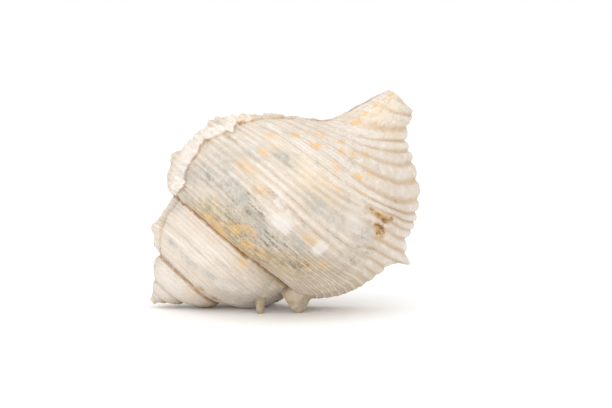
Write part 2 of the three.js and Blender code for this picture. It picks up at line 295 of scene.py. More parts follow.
class Mark(Enum):
    """The kinds of wear and stain, each named as the attribute that carries it; the olive mark also carries
    painted shade under the spire.
    """

    WORN = "worn"
    CHALK = "chalk"
    OLIVE = "olive"
    SLATE = "slate"
    SOOT = "soot"
    OCHRE = "ochre"
    BUTTER = "butter"
    RUST = "rust"
    DUN = "dun"


@dataclass(frozen=True)
class Patch:
    """A patch of wear, stain or painted shade, at a growth angle and outline position, with its reach each
    way.
    """

    growth: float
    line: float
    reach: float
    breadth: float
    strength: float = 1.0


PATCHES = {mark: tuple(Patch(*row) for row in rows) for mark, rows in {
    Mark.WORN: (
        (-41, 4.35, 7.5, 0.42), (-62, 4.15, 9.0, 0.3, 0.6), (-77, 4.15, 8.0, 0.25, 0.6),
        (-95, 2.2, 12, 0.5, 0.5), (-69, 2.9, 9.0, 0.3, 0.7), (-50, 3.0, 7.0, 0.4, 0.5),
        (-412, 2.2, 12, 0.7), (-395, 3.0, 18, 0.9), (-420, 3.3, 10, 0.5, 0.8), (-455, 2.2, 9, 0.3, 0.6),
        (-398, 4.8, 16, 0.9, 0.9), (-152, 6.6, 8, 1.4, 0.8),
    ),
    Mark.CHALK: (
        (-83, 3.1, 5.5, 0.33, 0.85), (-61, 3.25, 4.8, 0.3, 0.85), (-56, 4.35, 6.0, 0.34, 0.6),
        (-90, 3.45, 4.0, 0.16, 0.5), (-430, 2.6, 4, 0.2, 0.5), (-415, 3.1, 5, 0.2, 0.4),
        (-405, 3.3, 4, 0.25, 0.5),
    ),
    Mark.OLIVE: (
        (-122, 0.6, 18, 0.8, 0.8), (-108, 1.2, 18, 0.9, 0.9), (-95, 0.9, 22, 1.1), (-95, 1.8, 17, 0.7, 0.9),
        (-78, 1.1, 20, 1.1), (-70, 1.8, 17, 0.8, 0.9), (-60, 2.2, 14, 0.7, 0.7), (-424, 0.6, 6, 0.3),
        # the olive patches at -725, -1085 and -1430 lie on the underside of the spire by the floor: painted
        # shade, not stain
        (-402, 0.7, 8, 0.35), (-725, 3.6, 26, 1.4, 0.9), (-1085, 3.6, 40, 2.0, 0.9),
        (-390, 5.4, 30, 0.6, 0.8), (-1430, 3.6, 60, 3.0, 0.8),
    ),
    Mark.SLATE: (
        (-140, 2.1, 11, 0.6, 0.7), (-130, 2.55, 11, 0.4, 0.9), (-108, 2.75, 15, 0.4),
        (-84, 2.3, 16, 0.5, 0.9), (-77, 4.15, 9, 0.25, 0.7), (-107, 4.7, 7, 0.3),
        (-118, 4.15, 8, 0.35, 0.5), (-125, 3.3, 15, 0.6, 0.6), (-64, 2.8, 13, 0.45, 0.8),
        (-138, 1.2, 12, 0.7, 0.6), (-464, 2.4, 12, 0.2, 0.9), (-488, 2.6, 12, 0.2, 0.9),
        (-512, 4.5, 10, 0.5, 0.7), (-440, 2.5, 10, 0.25, 0.6),
    ),
    Mark.SOOT: (
        (-81, 2.35, 9, 0.2), (-71, 2.45, 8, 0.2), (-76, 2.1, 9, 0.3, 0.8), (-64, 2.1, 6, 0.2),
        (-58, 2.45, 5, 0.16, 0.8), (-39, 3.6, 4, 0.14, 0.9), (-37, 3.85, 3.5, 0.14, 0.9),
        (-31, 4.0, 2.5, 0.1, 0.7), (-102, 2.55, 7, 0.16, 0.9), (-96, 2.85, 8, 0.14),
        (-98, 3.05, 6, 0.12, 0.8), (-130, 2.5, 6, 0.25, 0.7), (-85, 1.55, 9, 0.4, 0.7),
        (-103, 1.9, 9, 0.4, 0.6), (-402, 0.75, 4, 0.15), (-34, 4.86, 4.5, 0.12), (-33.5, 4.5, 3.5, 0.1),
        (-30, 4.95, 1.5, 0.04, 0.8), (-92, 3.6, 9, 0.04, 0.5), (-100, 3.45, 3, 0.1, 0.7),
        (-112, 2.7, 5, 0.2, 0.5), (-45, 4.15, 14, 0.04, 0.5),
    ),
    Mark.OCHRE: (
        (-102, 9.1, 6, 0.2), (-106, 10.05, 4, 0.16), (-96, 10.2, 3, 0.12, 0.9), (-104, 9.6, 4.5, 0.14, 0.9),
        (-94, 9.6, 3, 0.12, 0.8), (-88, 9.95, 3, 0.12, 0.8), (-78, 9.35, 4, 0.14, 0.8),
        (-95, 10.6, 4, 0.16, 0.8), (-108, 10.85, 8, 0.22, 0.9), (-90, 9.05, 4, 0.12, 0.8),
        (-117, 5.95, 3.5, 0.16, 0.9), (-103, 6.05, 4, 0.2, 0.9), (-100, 6.4, 3, 0.12, 0.6),
        (-93, 7.0, 3, 0.18, 0.8), (-88, 6.55, 3.5, 0.14, 0.9), (-80, 6.75, 3, 0.14, 0.8),
        (-70, 7.05, 3, 0.14, 0.8), (-68, 6.1, 3, 0.16), (-116, 4.4, 4, 0.18, 0.7), (-95, 1.6, 5, 0.3, 0.7),
        (-84, 1.4, 5, 0.28, 0.7), (-104, 1.0, 6, 0.3, 0.6), (-74, 1.5, 5, 0.25, 0.6),
        (-52, 2.9, 4, 0.2, 0.6), (-62, 5.5, 12, 0.12, 0.5), (-76, 5.0, 12, 0.12, 0.5),
        (-155, 4.85, 5, 0.2, 0.9), (-153, 5.3, 6, 0.25, 0.8), (-157, 5.9, 8, 0.5, 0.6),
        (-152, 6.9, 6, 0.6, 0.5), (-146, 1.0, 3, 0.3, 0.5), (-151, 2.9, 3, 0.2, 0.5),
        (-432, 4.6, 5, 0.3, 0.6), (-100, 0.5, 9, 0.5, 0.6), (-90, 2.0, 7, 0.3, 0.5),
        (-112, 0.9, 6, 0.4, 0.6), (-115, 3.6, 8, 0.3, 0.45), (-100, 3.4, 7, 0.3, 0.45),
        (-67, 3.3, 7, 0.25, 0.45), (-125, 5.2, 7, 0.3, 0.5), (-110, 6.8, 6, 0.4, 0.5),
        (-84, 5.8, 7, 0.3, 0.5), (-58, 6.4, 7, 0.2, 0.5), (-58, 2.6, 8, 0.5, 0.4),
    ),
    Mark.BUTTER: (
        (-89, 4.7, 12, 0.4), (-99, 4.95, 10, 0.35), (-76, 4.45, 11, 0.3, 0.9), (-112, 4.85, 8, 0.3, 0.9),
        (-48, 9.0, 26, 0.5, 0.7), (-80, 10.2, 26, 0.8, 0.9), (-152, 6.4, 9, 1.6, 0.9),
        (-20, 8.2, 18, 0.5, 0.6),
    ),
    Mark.RUST: (
        (-46, 4.98, 8, 0.11, 0.8), (-39, 4.93, 8, 0.15, 0.85), (-38, 4.6, 7, 0.12, 0.85),
        (-34, 4.87, 5.0, 0.14), (-30, 4.97, 2.4, 0.08), (-34, 4.52, 5.0, 0.13, 0.9),
        (-30.5, 4.43, 3.0, 0.08, 0.7), (-43, 5.03, 5.0, 0.04, 0.8), (-24, 5.9, 2.0, 0.08, 0.7),
    ),
    Mark.DUN: (
        (-57, 2.3, 15, 0.8, 0.6), (-45, 1.8, 16, 0.9, 0.6), (-42, 2.9, 13, 0.7, 0.9),
        (-38, 3.7, 12, 0.5, 0.7), (-25, 3.0, 14, 0.8, 0.6), (-22, 5.6, 16, 1.0, 0.35),
        (-68, 4.5, 16, 0.7, 0.4), (-396, 4.6, 20, 0.8, 0.3), (-172, 2.0, 6, 0.35, 0.5),
        (-174, 3.0, 5, 0.2, 0.5), (-172, 4.3, 5, 0.25, 0.4), (-165, 1.2, 5, 0.3, 0.4),
    ),
}.items()}
CRISP = (Mark.CHALK, Mark.WORN, Mark.RUST)

# Each curve pairs outline positions or growth angles with the values there.
FLARE_START: Curve = ((3.4, 4.6, 5.4, 9.0), (-38.0, -52.0, -88.0, -112.0))
FLUTE_SIZE: Curve = ((0, 2.5, 3.6, 5, 9.4, 10.4, 11), (0.25, 0.5, 0.8, 1.0, 1.0, 0.6, 0.2))
SPIRE_KEEL: Curve = ((-560, -508, -488, -464, -442, -420, -390), (3.0, 2.9, 2.75, 2.55, 2.75, 3.25, 3.6))
BODY_FLAKE: Curve = ((-150, -130, -102, -97, -80), (2.5, 2.5, 2.55, 2.8, 2.8))
SEAM_TONE: Curve = (
    (-1500, -800, -600, -520, -430, -390, -165, -150, -50, -30),
    (0.1, 0.25, 0.35, 0.7, 0.9, 0.7, 0.7, 1.0, 1.0, 0.4))
YOUTH: Curve = ((-900, -620, -500, -380, -200), (0.05, 0.2, 0.6, 0.5, 1.0))
GRIME: Curve = (
    (0, 1.0, 1.9, 2.3, 2.65, 3.0, 3.3, 3.6, 3.9, 4.3, 4.8, 5.5, 7, 9),
    (0.4, 0.35, 0.45, 0.35, 0.7, 0.6, 0.9, 1.2, 0.9, 0.8, 0.5, 0.6, 0.5, 0.3))
DOWN_LINE: Curve = ((-1, 0, 5, 8, 11), (-3, 0, 33, 50, 68))


@dataclass(frozen=True)
class Lump:
    """A local swelling or dent: where it is, its reach each way, and its height in mm."""

    growth: float
    line: float
    reach: float
    breadth: float
    height: float


LUMPS = tuple(Lump(*row) for row in (
    (-176, 0.35, 9, 0.5, 0.7), (-172, 1.5, 6, 0.35, 0.6), (-181, 2.35, 12, 0.3, 1.9),
    (-176, 2.95, 9, 0.25, 0.6), (-182, 3.55, 12, 0.28, 1.0), (-183, 4.15, 12, 0.22, 2.3),
    (-181, 4.5, 12, 0.2, 2.2), (-179, 4.95, 11, 0.22, 0.9), (-178, 5.5, 11, 0.22, 1.3),
    (-166, 3.9, 8, 0.3, 0.7), (-168, 4.9, 8, 0.28, 0.6), (-160, 3.0, 7, 0.3, 0.5),
    (-530, 2.75, 12, 0.45, 1.3), (-528, 1.3, 9, 0.5, 0.5), (-520, 3.7, 9, 0.35, 0.5),
    (-880, 2.6, 40, 1.6, 0.75), (-46, 2.6, 26, 0.8, -0.8), (-8, 2.3, 26, 1.0, -1.2),
    (8, 10.25, 13, 0.35, 0.7), (-390, 4.9, 13, 0.9, 1.4), (8, 5.15, 12, 0.2, 0.5), (8, 4.85, 12, 0.15, 0.6),
    (8, 4.4, 14, 0.2, 0.9), (-8, 11, 30, 0.5, 0.5), (-20, 2.1, 12, 0.35, 0.35),
))


@dataclass(frozen=True)
class Varix:
    """A former lip: where its edge runs, as outline positions and growth angles, and its height in mm."""

    nominal: float
    height: float
    lines: tuple[float, ...]
    growths: tuple[float, ...]
    width: float = 42.0

    def edge(self, line: Array) -> Array:
        """Find the growth angle where the ridge breaks off, at outline positions."""
        return np.interp(line, self.lines, self.growths)


SPIRE_VARIX = Varix(-510, 0.6, (0, 1, 2, 3, 4, 11), (-514, -510, -506, -512, -515, -510))
BACK_VARIX = Varix(-340, 1.3, (0, 11), (-340, -340))
BODY_VARIX = Varix(
    -150, 1.3,
    (0, 0.4, 1.1, 1.4, 1.75, 2.55, 2.95, 3.25, 3.55, 3.95, 4.25, 4.5, 4.8, 5.15, 6.5, 7.1, 7.7, 11),
    (-158, -155, -143, -139, -138, -144, -145, -148, -150,
     -147, -140, -146, -151, -149, -150, -150, -146, -150),
    50.0)


@dataclass
class Sculpture:
    """Everything that lifts the surface off the smooth form: cords, flutes, varices, wear."""

    cords: tuple[float, ...] = (
        -0.2, 0.1, 0.35, 0.6, 0.85, 1.1, 1.4, 1.65, 1.9, 2.15, 2.4, 2.65, 2.9, 3.15, 3.4, 3.65, 3.9, 4.15,
        4.45, 4.72, 4.97, 5.23, 5.65, 6.27, 6.77, 7.3, 7.82, 8.45, 9.85, 10.5, 11.2)
    full_size_turns: float = 0.35
    cord_height: float = 0.095
    cord_bend: float = 0.7
    bend_from: float = -34.0
    cord_wander: float = 0.03
    thread_height: float = 0.03
    combed_gain: float = 3.0
    flute_height: float = 0.72
    flute_unevenness: float = 0.3
    spike_line: float = 4.15
    spike_half: float = 0.15
    spike_height: float = 4.0
    spike_from: float = -26.0
    varix_reach: float = 7.5
    full_varix: float = 1.3
    healed_from: float = -165.0
    healed_height: float = 0.4
    healed_reach: float = 3.0
    crumple_height: float = 0.24
    crumple_reach: float = 0.22
    uneven_height: float = 0.22
    pitted_height: float = 0.06
    growth_line_heights: tuple[float, float] = (0.04, 0.035)
    chalk_height: float = 0.24
    worn_depth: float = 0.12
    worn_smooth: float = 0.75
    chalk_smooth: float = 0.7
    ragged: tuple[float, float] = (2.4, 0.09)
    shelf_heights: tuple[float, float] = (0.25, 0.22)
    shelf_half: float = 0.04
    crisp_fall: float = 1.8
    soft_fall: float = 0.9
    broad: Grain = field(default_factory=lambda: Grain(11))
    fine: Grain = field(default_factory=lambda: Grain(12))
    lines: Grain = field(default_factory=lambda: Grain(13))
    threads: Array = field(init=False)

    def __post_init__(self) -> None:
        """Set the threads: two to each narrow space between cords, three or four to a wide one."""
        table = []
        for low, high in zip(self.cords[:-1], self.cords[1:]):
            parts = 2 if high - low < 0.32 else 3 if high - low < 0.52 else 4
            table.extend(np.linspace(low, high, parts, endpoint=False))
        self.threads = np.array(table + [self.cords[-1]])

    @staticmethod
    def phase(line: Array, crests: Array | tuple[float, ...]) -> Array:
        """Count the crests passed on the way to each outline position."""
        return np.interp(line, crests, np.arange(len(crests)))

    @classmethod
    def ridge(cls, line: Array, crests: Array | tuple[float, ...]) -> Array:
        """Rise to 1 on each crest and fall to 0 between two."""
        return 0.5 + 0.5 * np.cos(2 * np.pi * cls.phase(line, crests))

    def cord(self, growth: Array, line: Array) -> Array:
        """Rise to 1 on each cord and fall to 0 between two."""
        return self.ridge(self.cord_line(growth, line), self.cords)

    def cord_line(self, growth: Array, line: Array) -> Array:
        """Follow the cords, which wander a little and bend down over the shoulder near the lip.

        Args:
            growth: Growth angles.
            line: Outline positions.

        Returns:
            The position of the cord that passes there.
        """
        bend = smooth_step(growth, self.bend_from, LIP) ** 1.2 * self.cord_bend
        bend = bend * np.clip((4.0 - line) / 2.5, 0.0, 1.0)
        wander = self.cord_wander * self.broad.layered(growth / 21, line * 0.8, 2)
        return line + bend + wander

    def flare(self, growth: Array, line: Array) -> Array:
        """Tell how far the cords have grown into the lip's flutes: 0 for plain cords, 1 for full flutes."""
        start = np.interp(line, *FLARE_START)
        return np.clip((growth - start) / (LIP - start), 0.0, 1.0) ** 1.1

    def patch(self, mark: Mark, growth: Array, line: Array) -> Array:
        """Add up the patches of one kind.

        Args:
            mark: The kind of patch.
            growth: Growth angles.
            line: Outline positions.

        Returns:
            Strength from 0 to 1.
        """
        ragged_growth = growth + self.ragged[0] * self.fine.layered(growth / 4, line * 4, 2)
        ragged_line = line + self.ragged[1] * self.fine.layered(growth / 3 + 40, line * 5, 2)
        total = np.zeros(np.broadcast(growth, line).shape)
        fall = self.crisp_fall if mark in CRISP else self.soft_fall
        for p in PATCHES[mark]:
            far = ((ragged_growth - p.growth) / p.reach) ** 2 + ((ragged_line - p.line) / p.breadth) ** 2
            total = np.maximum(total, p.strength * np.exp(-(far ** fall)))
        return total

    def ridge_of(self, varix: Varix | None, growth: Array, line: Array) -> tuple[Array, Array]:
        """Find the height of a former lip, which climbs slowly and breaks off in a step.

        Args:
            varix: The former lip, or None.
            growth: Growth angles.
            line: Outline positions.

        Returns:
            The smooth height in mm, and how close the edge is, 0 to 1.
        """
        if varix is None:
            return np.zeros_like(growth), np.zeros_like(growth)
        across = np.sin(np.pi * np.clip(line / self.varix_reach, 0.0, 1.0)) ** 0.8
        share = 1 - np.clip((varix.edge(line) - growth) / varix.width, 0.0, 1.0)
        near = smooth_step(share, 0.2, 0.9) * min(varix.height / self.full_varix, 1.0)
        return varix.height * across * share**0.9, near

    @staticmethod
    def combed(growth: Array, line: Array) -> Array:
        """Tell how strongly, 0 to 1, the threads stand out as fine ribs above the newest shoulder."""
        return smooth_step(growth, -85.0, -55.0) * (1 - smooth_step(line, 2.9, 3.6))

    @staticmethod
    def lumps(growth: Array, line: Array) -> Array:
        """Add up the local swellings and dents.

        Args:
            growth: Growth angles.
            line: Outline positions.

        Returns:
            Height in mm.
        """
        total = np.zeros_like(growth)
        for lump in LUMPS:
            far = ((growth - lump.growth) / lump.reach) ** 2 + ((line - lump.line) / lump.breadth) ** 2
            total += lump.height * np.exp(-far)
        return total

    def relief(self, growth: Array, line: Array, varix: Varix | None) -> Array:
        """Work out how far the sculpture lifts the surface off the smooth outline.

        Args:
            growth: Growth angles, shaped like the surface.
            line: Outline positions, shaped like the surface.
            varix: The former lip that this run of shell ends with.

        Returns:
            The lift in mm.
        """
        scale = np.minimum(1.0, TURN_GROWTH ** (growth / 360 + self.full_size_turns))
        where = self.cord_line(growth, line)
        cord = self.ridge(where, self.cords)
        flare = self.flare(growth, line)
        worn = self.patch(Mark.WORN, growth, line)
        chalk = self.patch(Mark.CHALK, growth, line)
        keep = (1 - self.worn_smooth * worn) * (1 - self.chalk_smooth * chalk)
        size = np.interp(line, *FLUTE_SIZE)
        size = size * (1 + self.flute_unevenness * self.fine.layered(growth / 14, line * 2.0, 2))
        flutes = self.flute_height * size * flare * (0.4 - (1 - cord) ** 2.4)
        height, near = self.ridge_of(varix, growth, line)
        blocks = smooth_step(self.fine.layered(growth / 4.5, line * 1.9, 2), -0.3, 0.3)
        jagged = 0.4 * self.fine.layered(growth / 1.9, line * 5.0, 2)
        frill = height * 0.12 * (cord - 0.4) + near * (0.8 * blocks * (0.6 + 0.4 * cord) + jagged - 0.2)
        spike = self.spike_height * smooth_step(growth, self.spike_from, LIP) ** 2
        spike = spike * np.exp(-np.abs((line - self.spike_line) / self.spike_half) ** 1.5)
        if varix is None:
            height = height + self.healed(growth, line)
        crumple = self.crumple_height * np.exp(-line / self.crumple_reach) * self.fine.layered(
            growth / 2.6, line + 3.0, 2)
        ends = np.clip(np.minimum(line, 1.5 * (LAST_LINE - line)), 0.0, 1.0)
        body = self.cord_relief(growth, line, where, cord)
        total = scale * keep * body * (1 - 0.5 * flare) + keep * flutes + spike + height + frill
        bare = self.chalk_height * chalk - self.worn_depth * worn
        total = total + scale * (self.unevenness(growth, line) + bare + self.shelf(growth, line))
        lumpy = self.lumps(growth, line) * np.where(growth < FIRST, scale, 1.0)
        return ends * (total + lumpy * (0.65 + 0.45 * blocks + 0.1 * cord)) + scale * crumple

    def cord_relief(self, growth: Array, line: Array, where: Array, cord: Array) -> Array:
        """Lift the cords and threads, where wear has left them and the shell was old enough to grow them.

        Args:
            growth: Growth angles.
            line: Outline positions.
            where: Position of the cord that passes there.
            cord: Height of the cords, 0 to 1.

        Returns:
            Height in mm.
        """
        thread = self.ridge(where, self.threads)
        wear = 0.25 + 0.95 * smooth_step(self.broad.layered(growth / 10, line * 1.5, 3), -0.35, 0.45)
        young = 0.4 * smooth_step(growth, -640.0, -500.0) + 0.6 * smooth_step(growth, -370.0, -200.0)
        combed = self.combed_gain * self.combed(growth, line)
        threads = self.thread_height * (1 - (1 - thread) ** 2) * (young + combed)
        return (self.cord_height * (1 - (1 - cord) ** 4) * young + threads) * wear

    def unevenness(self, growth: Array, line: Array) -> Array:
        """Add the growth lines, the slow swells and the fine pits.

        Args:
            growth: Growth angles.
            line: Outline positions.

        Returns:
            Height in mm.
        """
        strong, weak = self.growth_line_heights
        growth_lines = strong * self.lines.at(growth * 0.9 + 1.5 * np.sin(line), line * 0.35)
        growth_lines = growth_lines + weak * self.lines.at(growth * 2.3, line * 0.9 + 9)
        swells = self.uneven_height * self.broad.layered(growth / 11, line * 0.7, 3)
        return growth_lines + swells + self.pitted_height * self.fine.layered(growth / 2.0, line * 3.0, 2)

    def healed(self, growth: Array, line: Array) -> Array:
        """Raise the new shell just past the body's former lip, where it grew over the break.

        Args:
            growth: Growth angles.
            line: Outline positions.

        Returns:
            Height in mm.
        """
        since = np.where(growth > self.healed_from, growth - BODY_VARIX.edge(line), 999.0)
        across = np.sin(np.pi * np.clip(line / self.varix_reach, 0, 1))
        return self.healed_height * across * np.exp(-np.clip(since, 0, 900) / self.healed_reach)

    def shelf(self, growth: Array, line: Array) -> Array:
        """Step the surface where a layer has flaked off short of the keel.

        Args:
            growth: Growth angles.
            line: Outline positions.

        Returns:
            Height in mm.
        """
        keel = np.interp(growth, *SPIRE_KEEL)
        keel = keel + 0.12 * self.fine.layered(growth / 4, growth * 0 + 2.0, 2)
        on = smooth_step(growth, -560, -530) * (1 - smooth_step(growth, -425, -400))
        flake = np.interp(growth, *BODY_FLAKE)
        flake = flake + 0.15 * self.fine.layered(growth / 3, growth * 0 + 7.0, 2)
        on_body = smooth_step(growth, -146, -136) * (1 - smooth_step(growth, -92, -80))
        spire, body = self.shelf_heights
        half = self.shelf_half
        step = spire * on * smooth_step(line - keel, -half, half)
        return step + body * on_body * smooth_step(line - flake, -half, half)


@dataclass
class Solid:
    """A closed solid with the shell coordinates of its vertices."""

    ob: bpy.types.Object
    growth: Array
    line: Array
    inner: Array
    places: Array


class Sweep:
    """Makes closed solids by moving the rings of a capped tube onto outlines round the coiling axis."""

    def __init__(self, form: GrowthForm) -> None:
        """Keep the growth form that places are found on."""
        self.form = form

    def solid(self, name: str, rings: Array, growth: Array, line: Array, inner: float) -> Solid:
        """Make one solid.

        Args:
            name: Name for the object.
            rings: Ring points as (rings, spokes, two), along and out, in mm.
            growth: Growth angle of each point, (rings, spokes).
            line: Outline position of each point, (rings, spokes).
            inner: 1 for a surface inside the shell, 0 for one outside.

        Returns:
            The solid with its coordinates.
        """
        count, spokes = rings.shape[:2]
        bm = bmesh.new()
        bmesh.ops.create_cone(
            bm, cap_ends=True, cap_tris=False, segments=spokes, radius1=1.0, radius2=1.0, depth=2.0)
        sides = [e for e in bm.edges if abs(e.verts[0].co.z - e.verts[1].co.z) > 1.0]
        bmesh.ops.subdivide_edges(bm, edges=sides, cuts=count - 2, use_grid_fill=True)
        mesh = mesh_of(bm, name)
        co = np.empty(len(mesh.vertices) * 3, np.float32)
        mesh.vertices.foreach_get("co", co)
        co = co.reshape(-1, 3)
        ring = np.rint((co[:, 2] + 1) / 2 * (count - 1)).astype(int)
        spoke = np.rint(np.arctan2(co[:, 1], co[:, 0]) / (2 * np.pi) * spokes).astype(int) % spokes
        places = self.form.place(rings[..., 0], rings[..., 1], growth)[ring, spoke]
        mesh.vertices.foreach_set("co", places.astype(np.float32).ravel())
        self.point_out(mesh)
        full = np.full(len(places), inner)
        return Solid(add(name, mesh), growth[ring, spoke], line[ring, spoke], full, places)

    @staticmethod
    def point_out(mesh: bpy.types.Mesh) -> None:
        """Turn every face of a closed mesh outwards.

        Args:
            mesh: The mesh, changed in place.
        """
        bm = bmesh.new()
        bm.from_mesh(mesh)
        bmesh.ops.recalc_face_normals(bm, faces=bm.faces)
        if bm.calc_volume(signed=True) < 0:
            bmesh.ops.reverse_faces(bm, faces=bm.faces)
        bm.to_mesh(mesh)
        bm.free()


@dataclass
class Whorl:
    """A run of the whorl, solid from its sculptured outline to the pillar."""

    name: str
    stops: tuple[tuple[float, int], ...]
    spacing: tuple[int, ...]
    begin: Varix | None = None
    end: Varix | None = None
    bore: float = BORE
    clear: float = 0.05
    lap: float = 0.7
    sink: float = 0.09
    sway: float = 34.0
    lip_rounds: Rounds = ((0.3, 0.35), (0.8, 0.3), (1.5, -0.1), (2.7, -0.3))
    varix_rounds: Rounds = ((0.25, 0.4), (0.8, 0.3))
    end_shares: tuple[float, float] = (0.25, 0.35)
    begin_share: float = 0.15
    head_share: float = 0.3
    lead: float = 3.0
    scallop: float = 0.8
    chip: float = 0.9
    scallop_reach: float = 16.0

    def positions(self) -> Array:
        """Lay out the outline positions, closer where the run needs detail."""
        spans = [np.linspace(i, i + 1, n, endpoint=False) for i, n in enumerate(self.spacing)]
        return np.append(np.concatenate(spans), float(LAST_LINE))

    def angles(self) -> Array:
        """Lay out the growth angles, from the first stop to the last.

        Returns:
            Growth angles, with a short lap before a former lip.
        """
        pairs = zip(self.stops[:-1], self.stops[1:])
        spans = [np.linspace(a, b, n, endpoint=False) for (a, _), (b, n) in pairs]
        angles = np.append(np.concatenate(spans), float(self.stops[-1][0]))
        return np.insert(angles, 0, angles[0] - self.lap) if self.begin else angles

    def build(self, sweep: Sweep, sculpture: Sculpture) -> Solid:
        """Make the run.

        Args:
            sweep: Maker of swept solids.
            sculpture: What lifts the surface.

        Returns:
            The closed solid.
        """
        angles, lines = self.angles(), self.positions()
        growth, line = np.meshgrid(angles, lines, indexing="ij")
        if self.begin:
            fade = 1 - smooth_step(angles, self.begin.nominal, self.begin.nominal + self.sway)
            growth = growth + (self.begin.edge(lines) - self.begin.nominal)[None] * fade[:, None]
        if self.end:
            fade = smooth_step(angles, self.end.nominal - self.sway, self.end.nominal)
            growth = growth + (self.end.edge(lines) - self.end.nominal)[None] * fade[:, None]
        spot, outward = sweep.form.outline(growth, line)
        lift = sculpture.relief(growth, line, self.end)
        if self.begin:
            lift[0] -= self.sink
        ring = spot + outward * lift[..., None]
        ring[..., 1] = np.maximum(ring[..., 1], self.bore + self.clear)
        if self.stops[-1][0] == LIP:
            growth = self.scalloped(growth, line, sculpture)
            ring, growth = self.rim(ring, outward[-1], growth, self.lip_rounds)
            growth[-1] = LIP
        elif self.end:
            ring, growth = self.rim(ring, outward[-1], growth, self.varix_rounds)
            ring = np.concatenate([ring] + [self.shrunk(ring[-1:], share) for share in self.end_shares])
            growth = np.concatenate([growth, growth[-1:], np.full_like(growth[-1:], self.end.nominal)])
        if self.begin:
            core = self.shrunk(ring[:1], self.begin_share)
            ring = np.concatenate([core, core, ring])
            early = growth[:1] - self.lead
            first = np.full_like(early, min(early.min(), self.begin.nominal) - 2 * self.lead)
            growth = np.concatenate([first, early, growth])
        line = np.repeat(lines[None], len(ring), axis=0)
        bore = self.bore * np.minimum(1.0, ring[:, 0, 1])
        foot = np.stack([ring[:, -1, 0], bore], -1)
        head = np.stack([self.head_share * ring[:, 0, 0], bore], -1)
        ring = np.concatenate([ring, foot[:, None], head[:, None]], axis=1)
        growth, line = (np.concatenate([a, a[:, -1:], a[:, :1]], axis=1) for a in (growth, line))
        return sweep.solid(self.name, ring, growth, line, 0.0)

    def shrunk(self, ring: Array, share: float) -> Array:
        """Draw rings in towards the axis.

        Args:
            ring: Points as (rings, spokes, two).
            share: Share of their distance from the axis.

        Returns:
            The smaller rings.
        """
        inner = ring.copy()
        inner[..., 1] = self.bore + self.clear + (ring[..., 1] - self.bore - self.clear) * (1 - share)
        return inner

    def scalloped(self, growth: Array, line: Array, sculpture: Sculpture) -> Array:
        """Let the lip's edge run forward on each flute and back in each groove, with a few chips.

        Args:
            growth: Growth angles.
            line: Outline positions.
            sculpture: What lifts the surface.

        Returns:
            The growth angles that the edge's scallops give.
        """
        ramp = np.clip((growth - (LIP - self.scallop_reach)) / self.scallop_reach, 0, 1) ** 2
        cord = sculpture.cord(growth, line)
        chips = sculpture.fine.layered(line * 4.0, line * 0 + 31.0, 3)
        shift = self.scallop * (cord[-1:] ** 2 - 0.5) + self.chip * chips
        return growth + ramp * shift * np.clip(line, 0, 1)

    @staticmethod
    def rim(ring: Array, outward: Array, growth: Array, rounds: Rounds) -> tuple[Array, Array]:
        """Round an edge over.

        Args:
            ring: Ring points.
            outward: Outward directions at the edge.
            growth: Growth angles.
            rounds: For each added ring, how far in it lies in mm and how far past the edge in degrees.

        Returns:
            The ring points and growth angles with the added rings.
        """
        edge, angle = ring[-1], growth[-1]
        room = np.maximum(edge[:, 1] - 1.2, 0.1) * 0.3
        for inset, ease in rounds:
            drop = np.minimum(inset, room)[:, None]
            ring = np.concatenate([ring, (edge - outward * drop)[None]])
            growth = np.concatenate([growth, (angle + ease)[None]])
        return ring, growth


@dataclass
class Hollow:
    """The room inside the body whorl, open at the lip and through the canal."""

    start: float = -285.0
    overrun: float = 2.0
    body_wall: float = 2.3
    canal_wall: float = 1.1
    callus: float = 0.7
    canal_overrun: float = 2.5
    bore: float = BORE
    least: float = 1.7
    tooth_height: float = 0.75
    ripple: float = 0.06
    fold_height: float = 0.45
    folds: tuple[tuple[float, float, float], ...] = ((8.3, 0.2, 1.0), (7.5, 0.18, 0.8))
    pillar_line: float = 6.0
    rings: int = 78
    columns: int = 108
    pillar_columns: int = 38

    def build(self, sweep: Sweep, sculpture: Sculpture) -> Solid:
        """Make the room as a closed solid to cut away.

        Args:
            sweep: Maker of swept solids.
            sculpture: What lifts the surface, for the folds inside the lip.

        Returns:
            The closed solid.
        """
        angles = np.linspace(self.start, LIP + self.overrun, self.rings)
        lines = np.linspace(1.0, LAST_LINE - 1.0, self.columns)
        growth, line = np.meshgrid(angles, lines, indexing="ij")
        wall = self.body_wall + (self.canal_wall - self.body_wall) * smooth_step(line, 5.0, 9.0)
        near_lip = smooth_step(growth, LIP - 15, LIP - 4)
        tooth = sculpture.cord(growth, line) ** 1.5
        teeth = self.tooth_height * near_lip * (1 - smooth_step(growth, LIP - 2, LIP + 1)) * tooth
        teeth = teeth * smooth_step(line, 3.0, 4.5) * (1 - smooth_step(line, 8.6, 9.4))
        ripple = self.ripple * sculpture.broad.layered(growth / 12, line * 0.8, 2)
        spot, outward = sweep.form.outline(growth, line)
        ring = spot - outward * (wall + teeth + ripple)[..., None]
        end = sweep.form.marks(angles)[:, -1]
        tip = end[:, 0] + self.canal_overrun
        bore = np.full_like(tip, self.bore)
        extra = np.stack([
            np.stack([tip, np.maximum(end[:, 1] - self.canal_wall, self.least)], -1),
            np.stack([tip, bore], -1),
            np.stack([end[:, 0] - self.canal_overrun, bore], -1)], axis=1)
        inner_lines = np.linspace(LAST_LINE - 1.0, self.pillar_line, self.pillar_columns)
        before, inner_line = np.meshgrid(angles - 360.0, inner_lines, indexing="ij")
        pillar, _ = sweep.form.outline(before, inner_line)
        fold = sum(share * np.exp(-((inner_lines - at) / half) ** 2) for at, half, share in self.folds)
        pillar = pillar + np.stack([np.zeros_like(fold), self.callus + self.fold_height * fold], -1)[None]
        ring = np.concatenate([ring, extra, pillar], axis=1)
        line = np.concatenate([lines, [10.6, 10.8, 10.8], inner_lines])
        growth = np.repeat(angles[:, None], ring.shape[1], axis=1)
        line = np.repeat(line[None], len(angles), axis=0)
        return sweep.solid("room", ring, growth, line, 1.0)


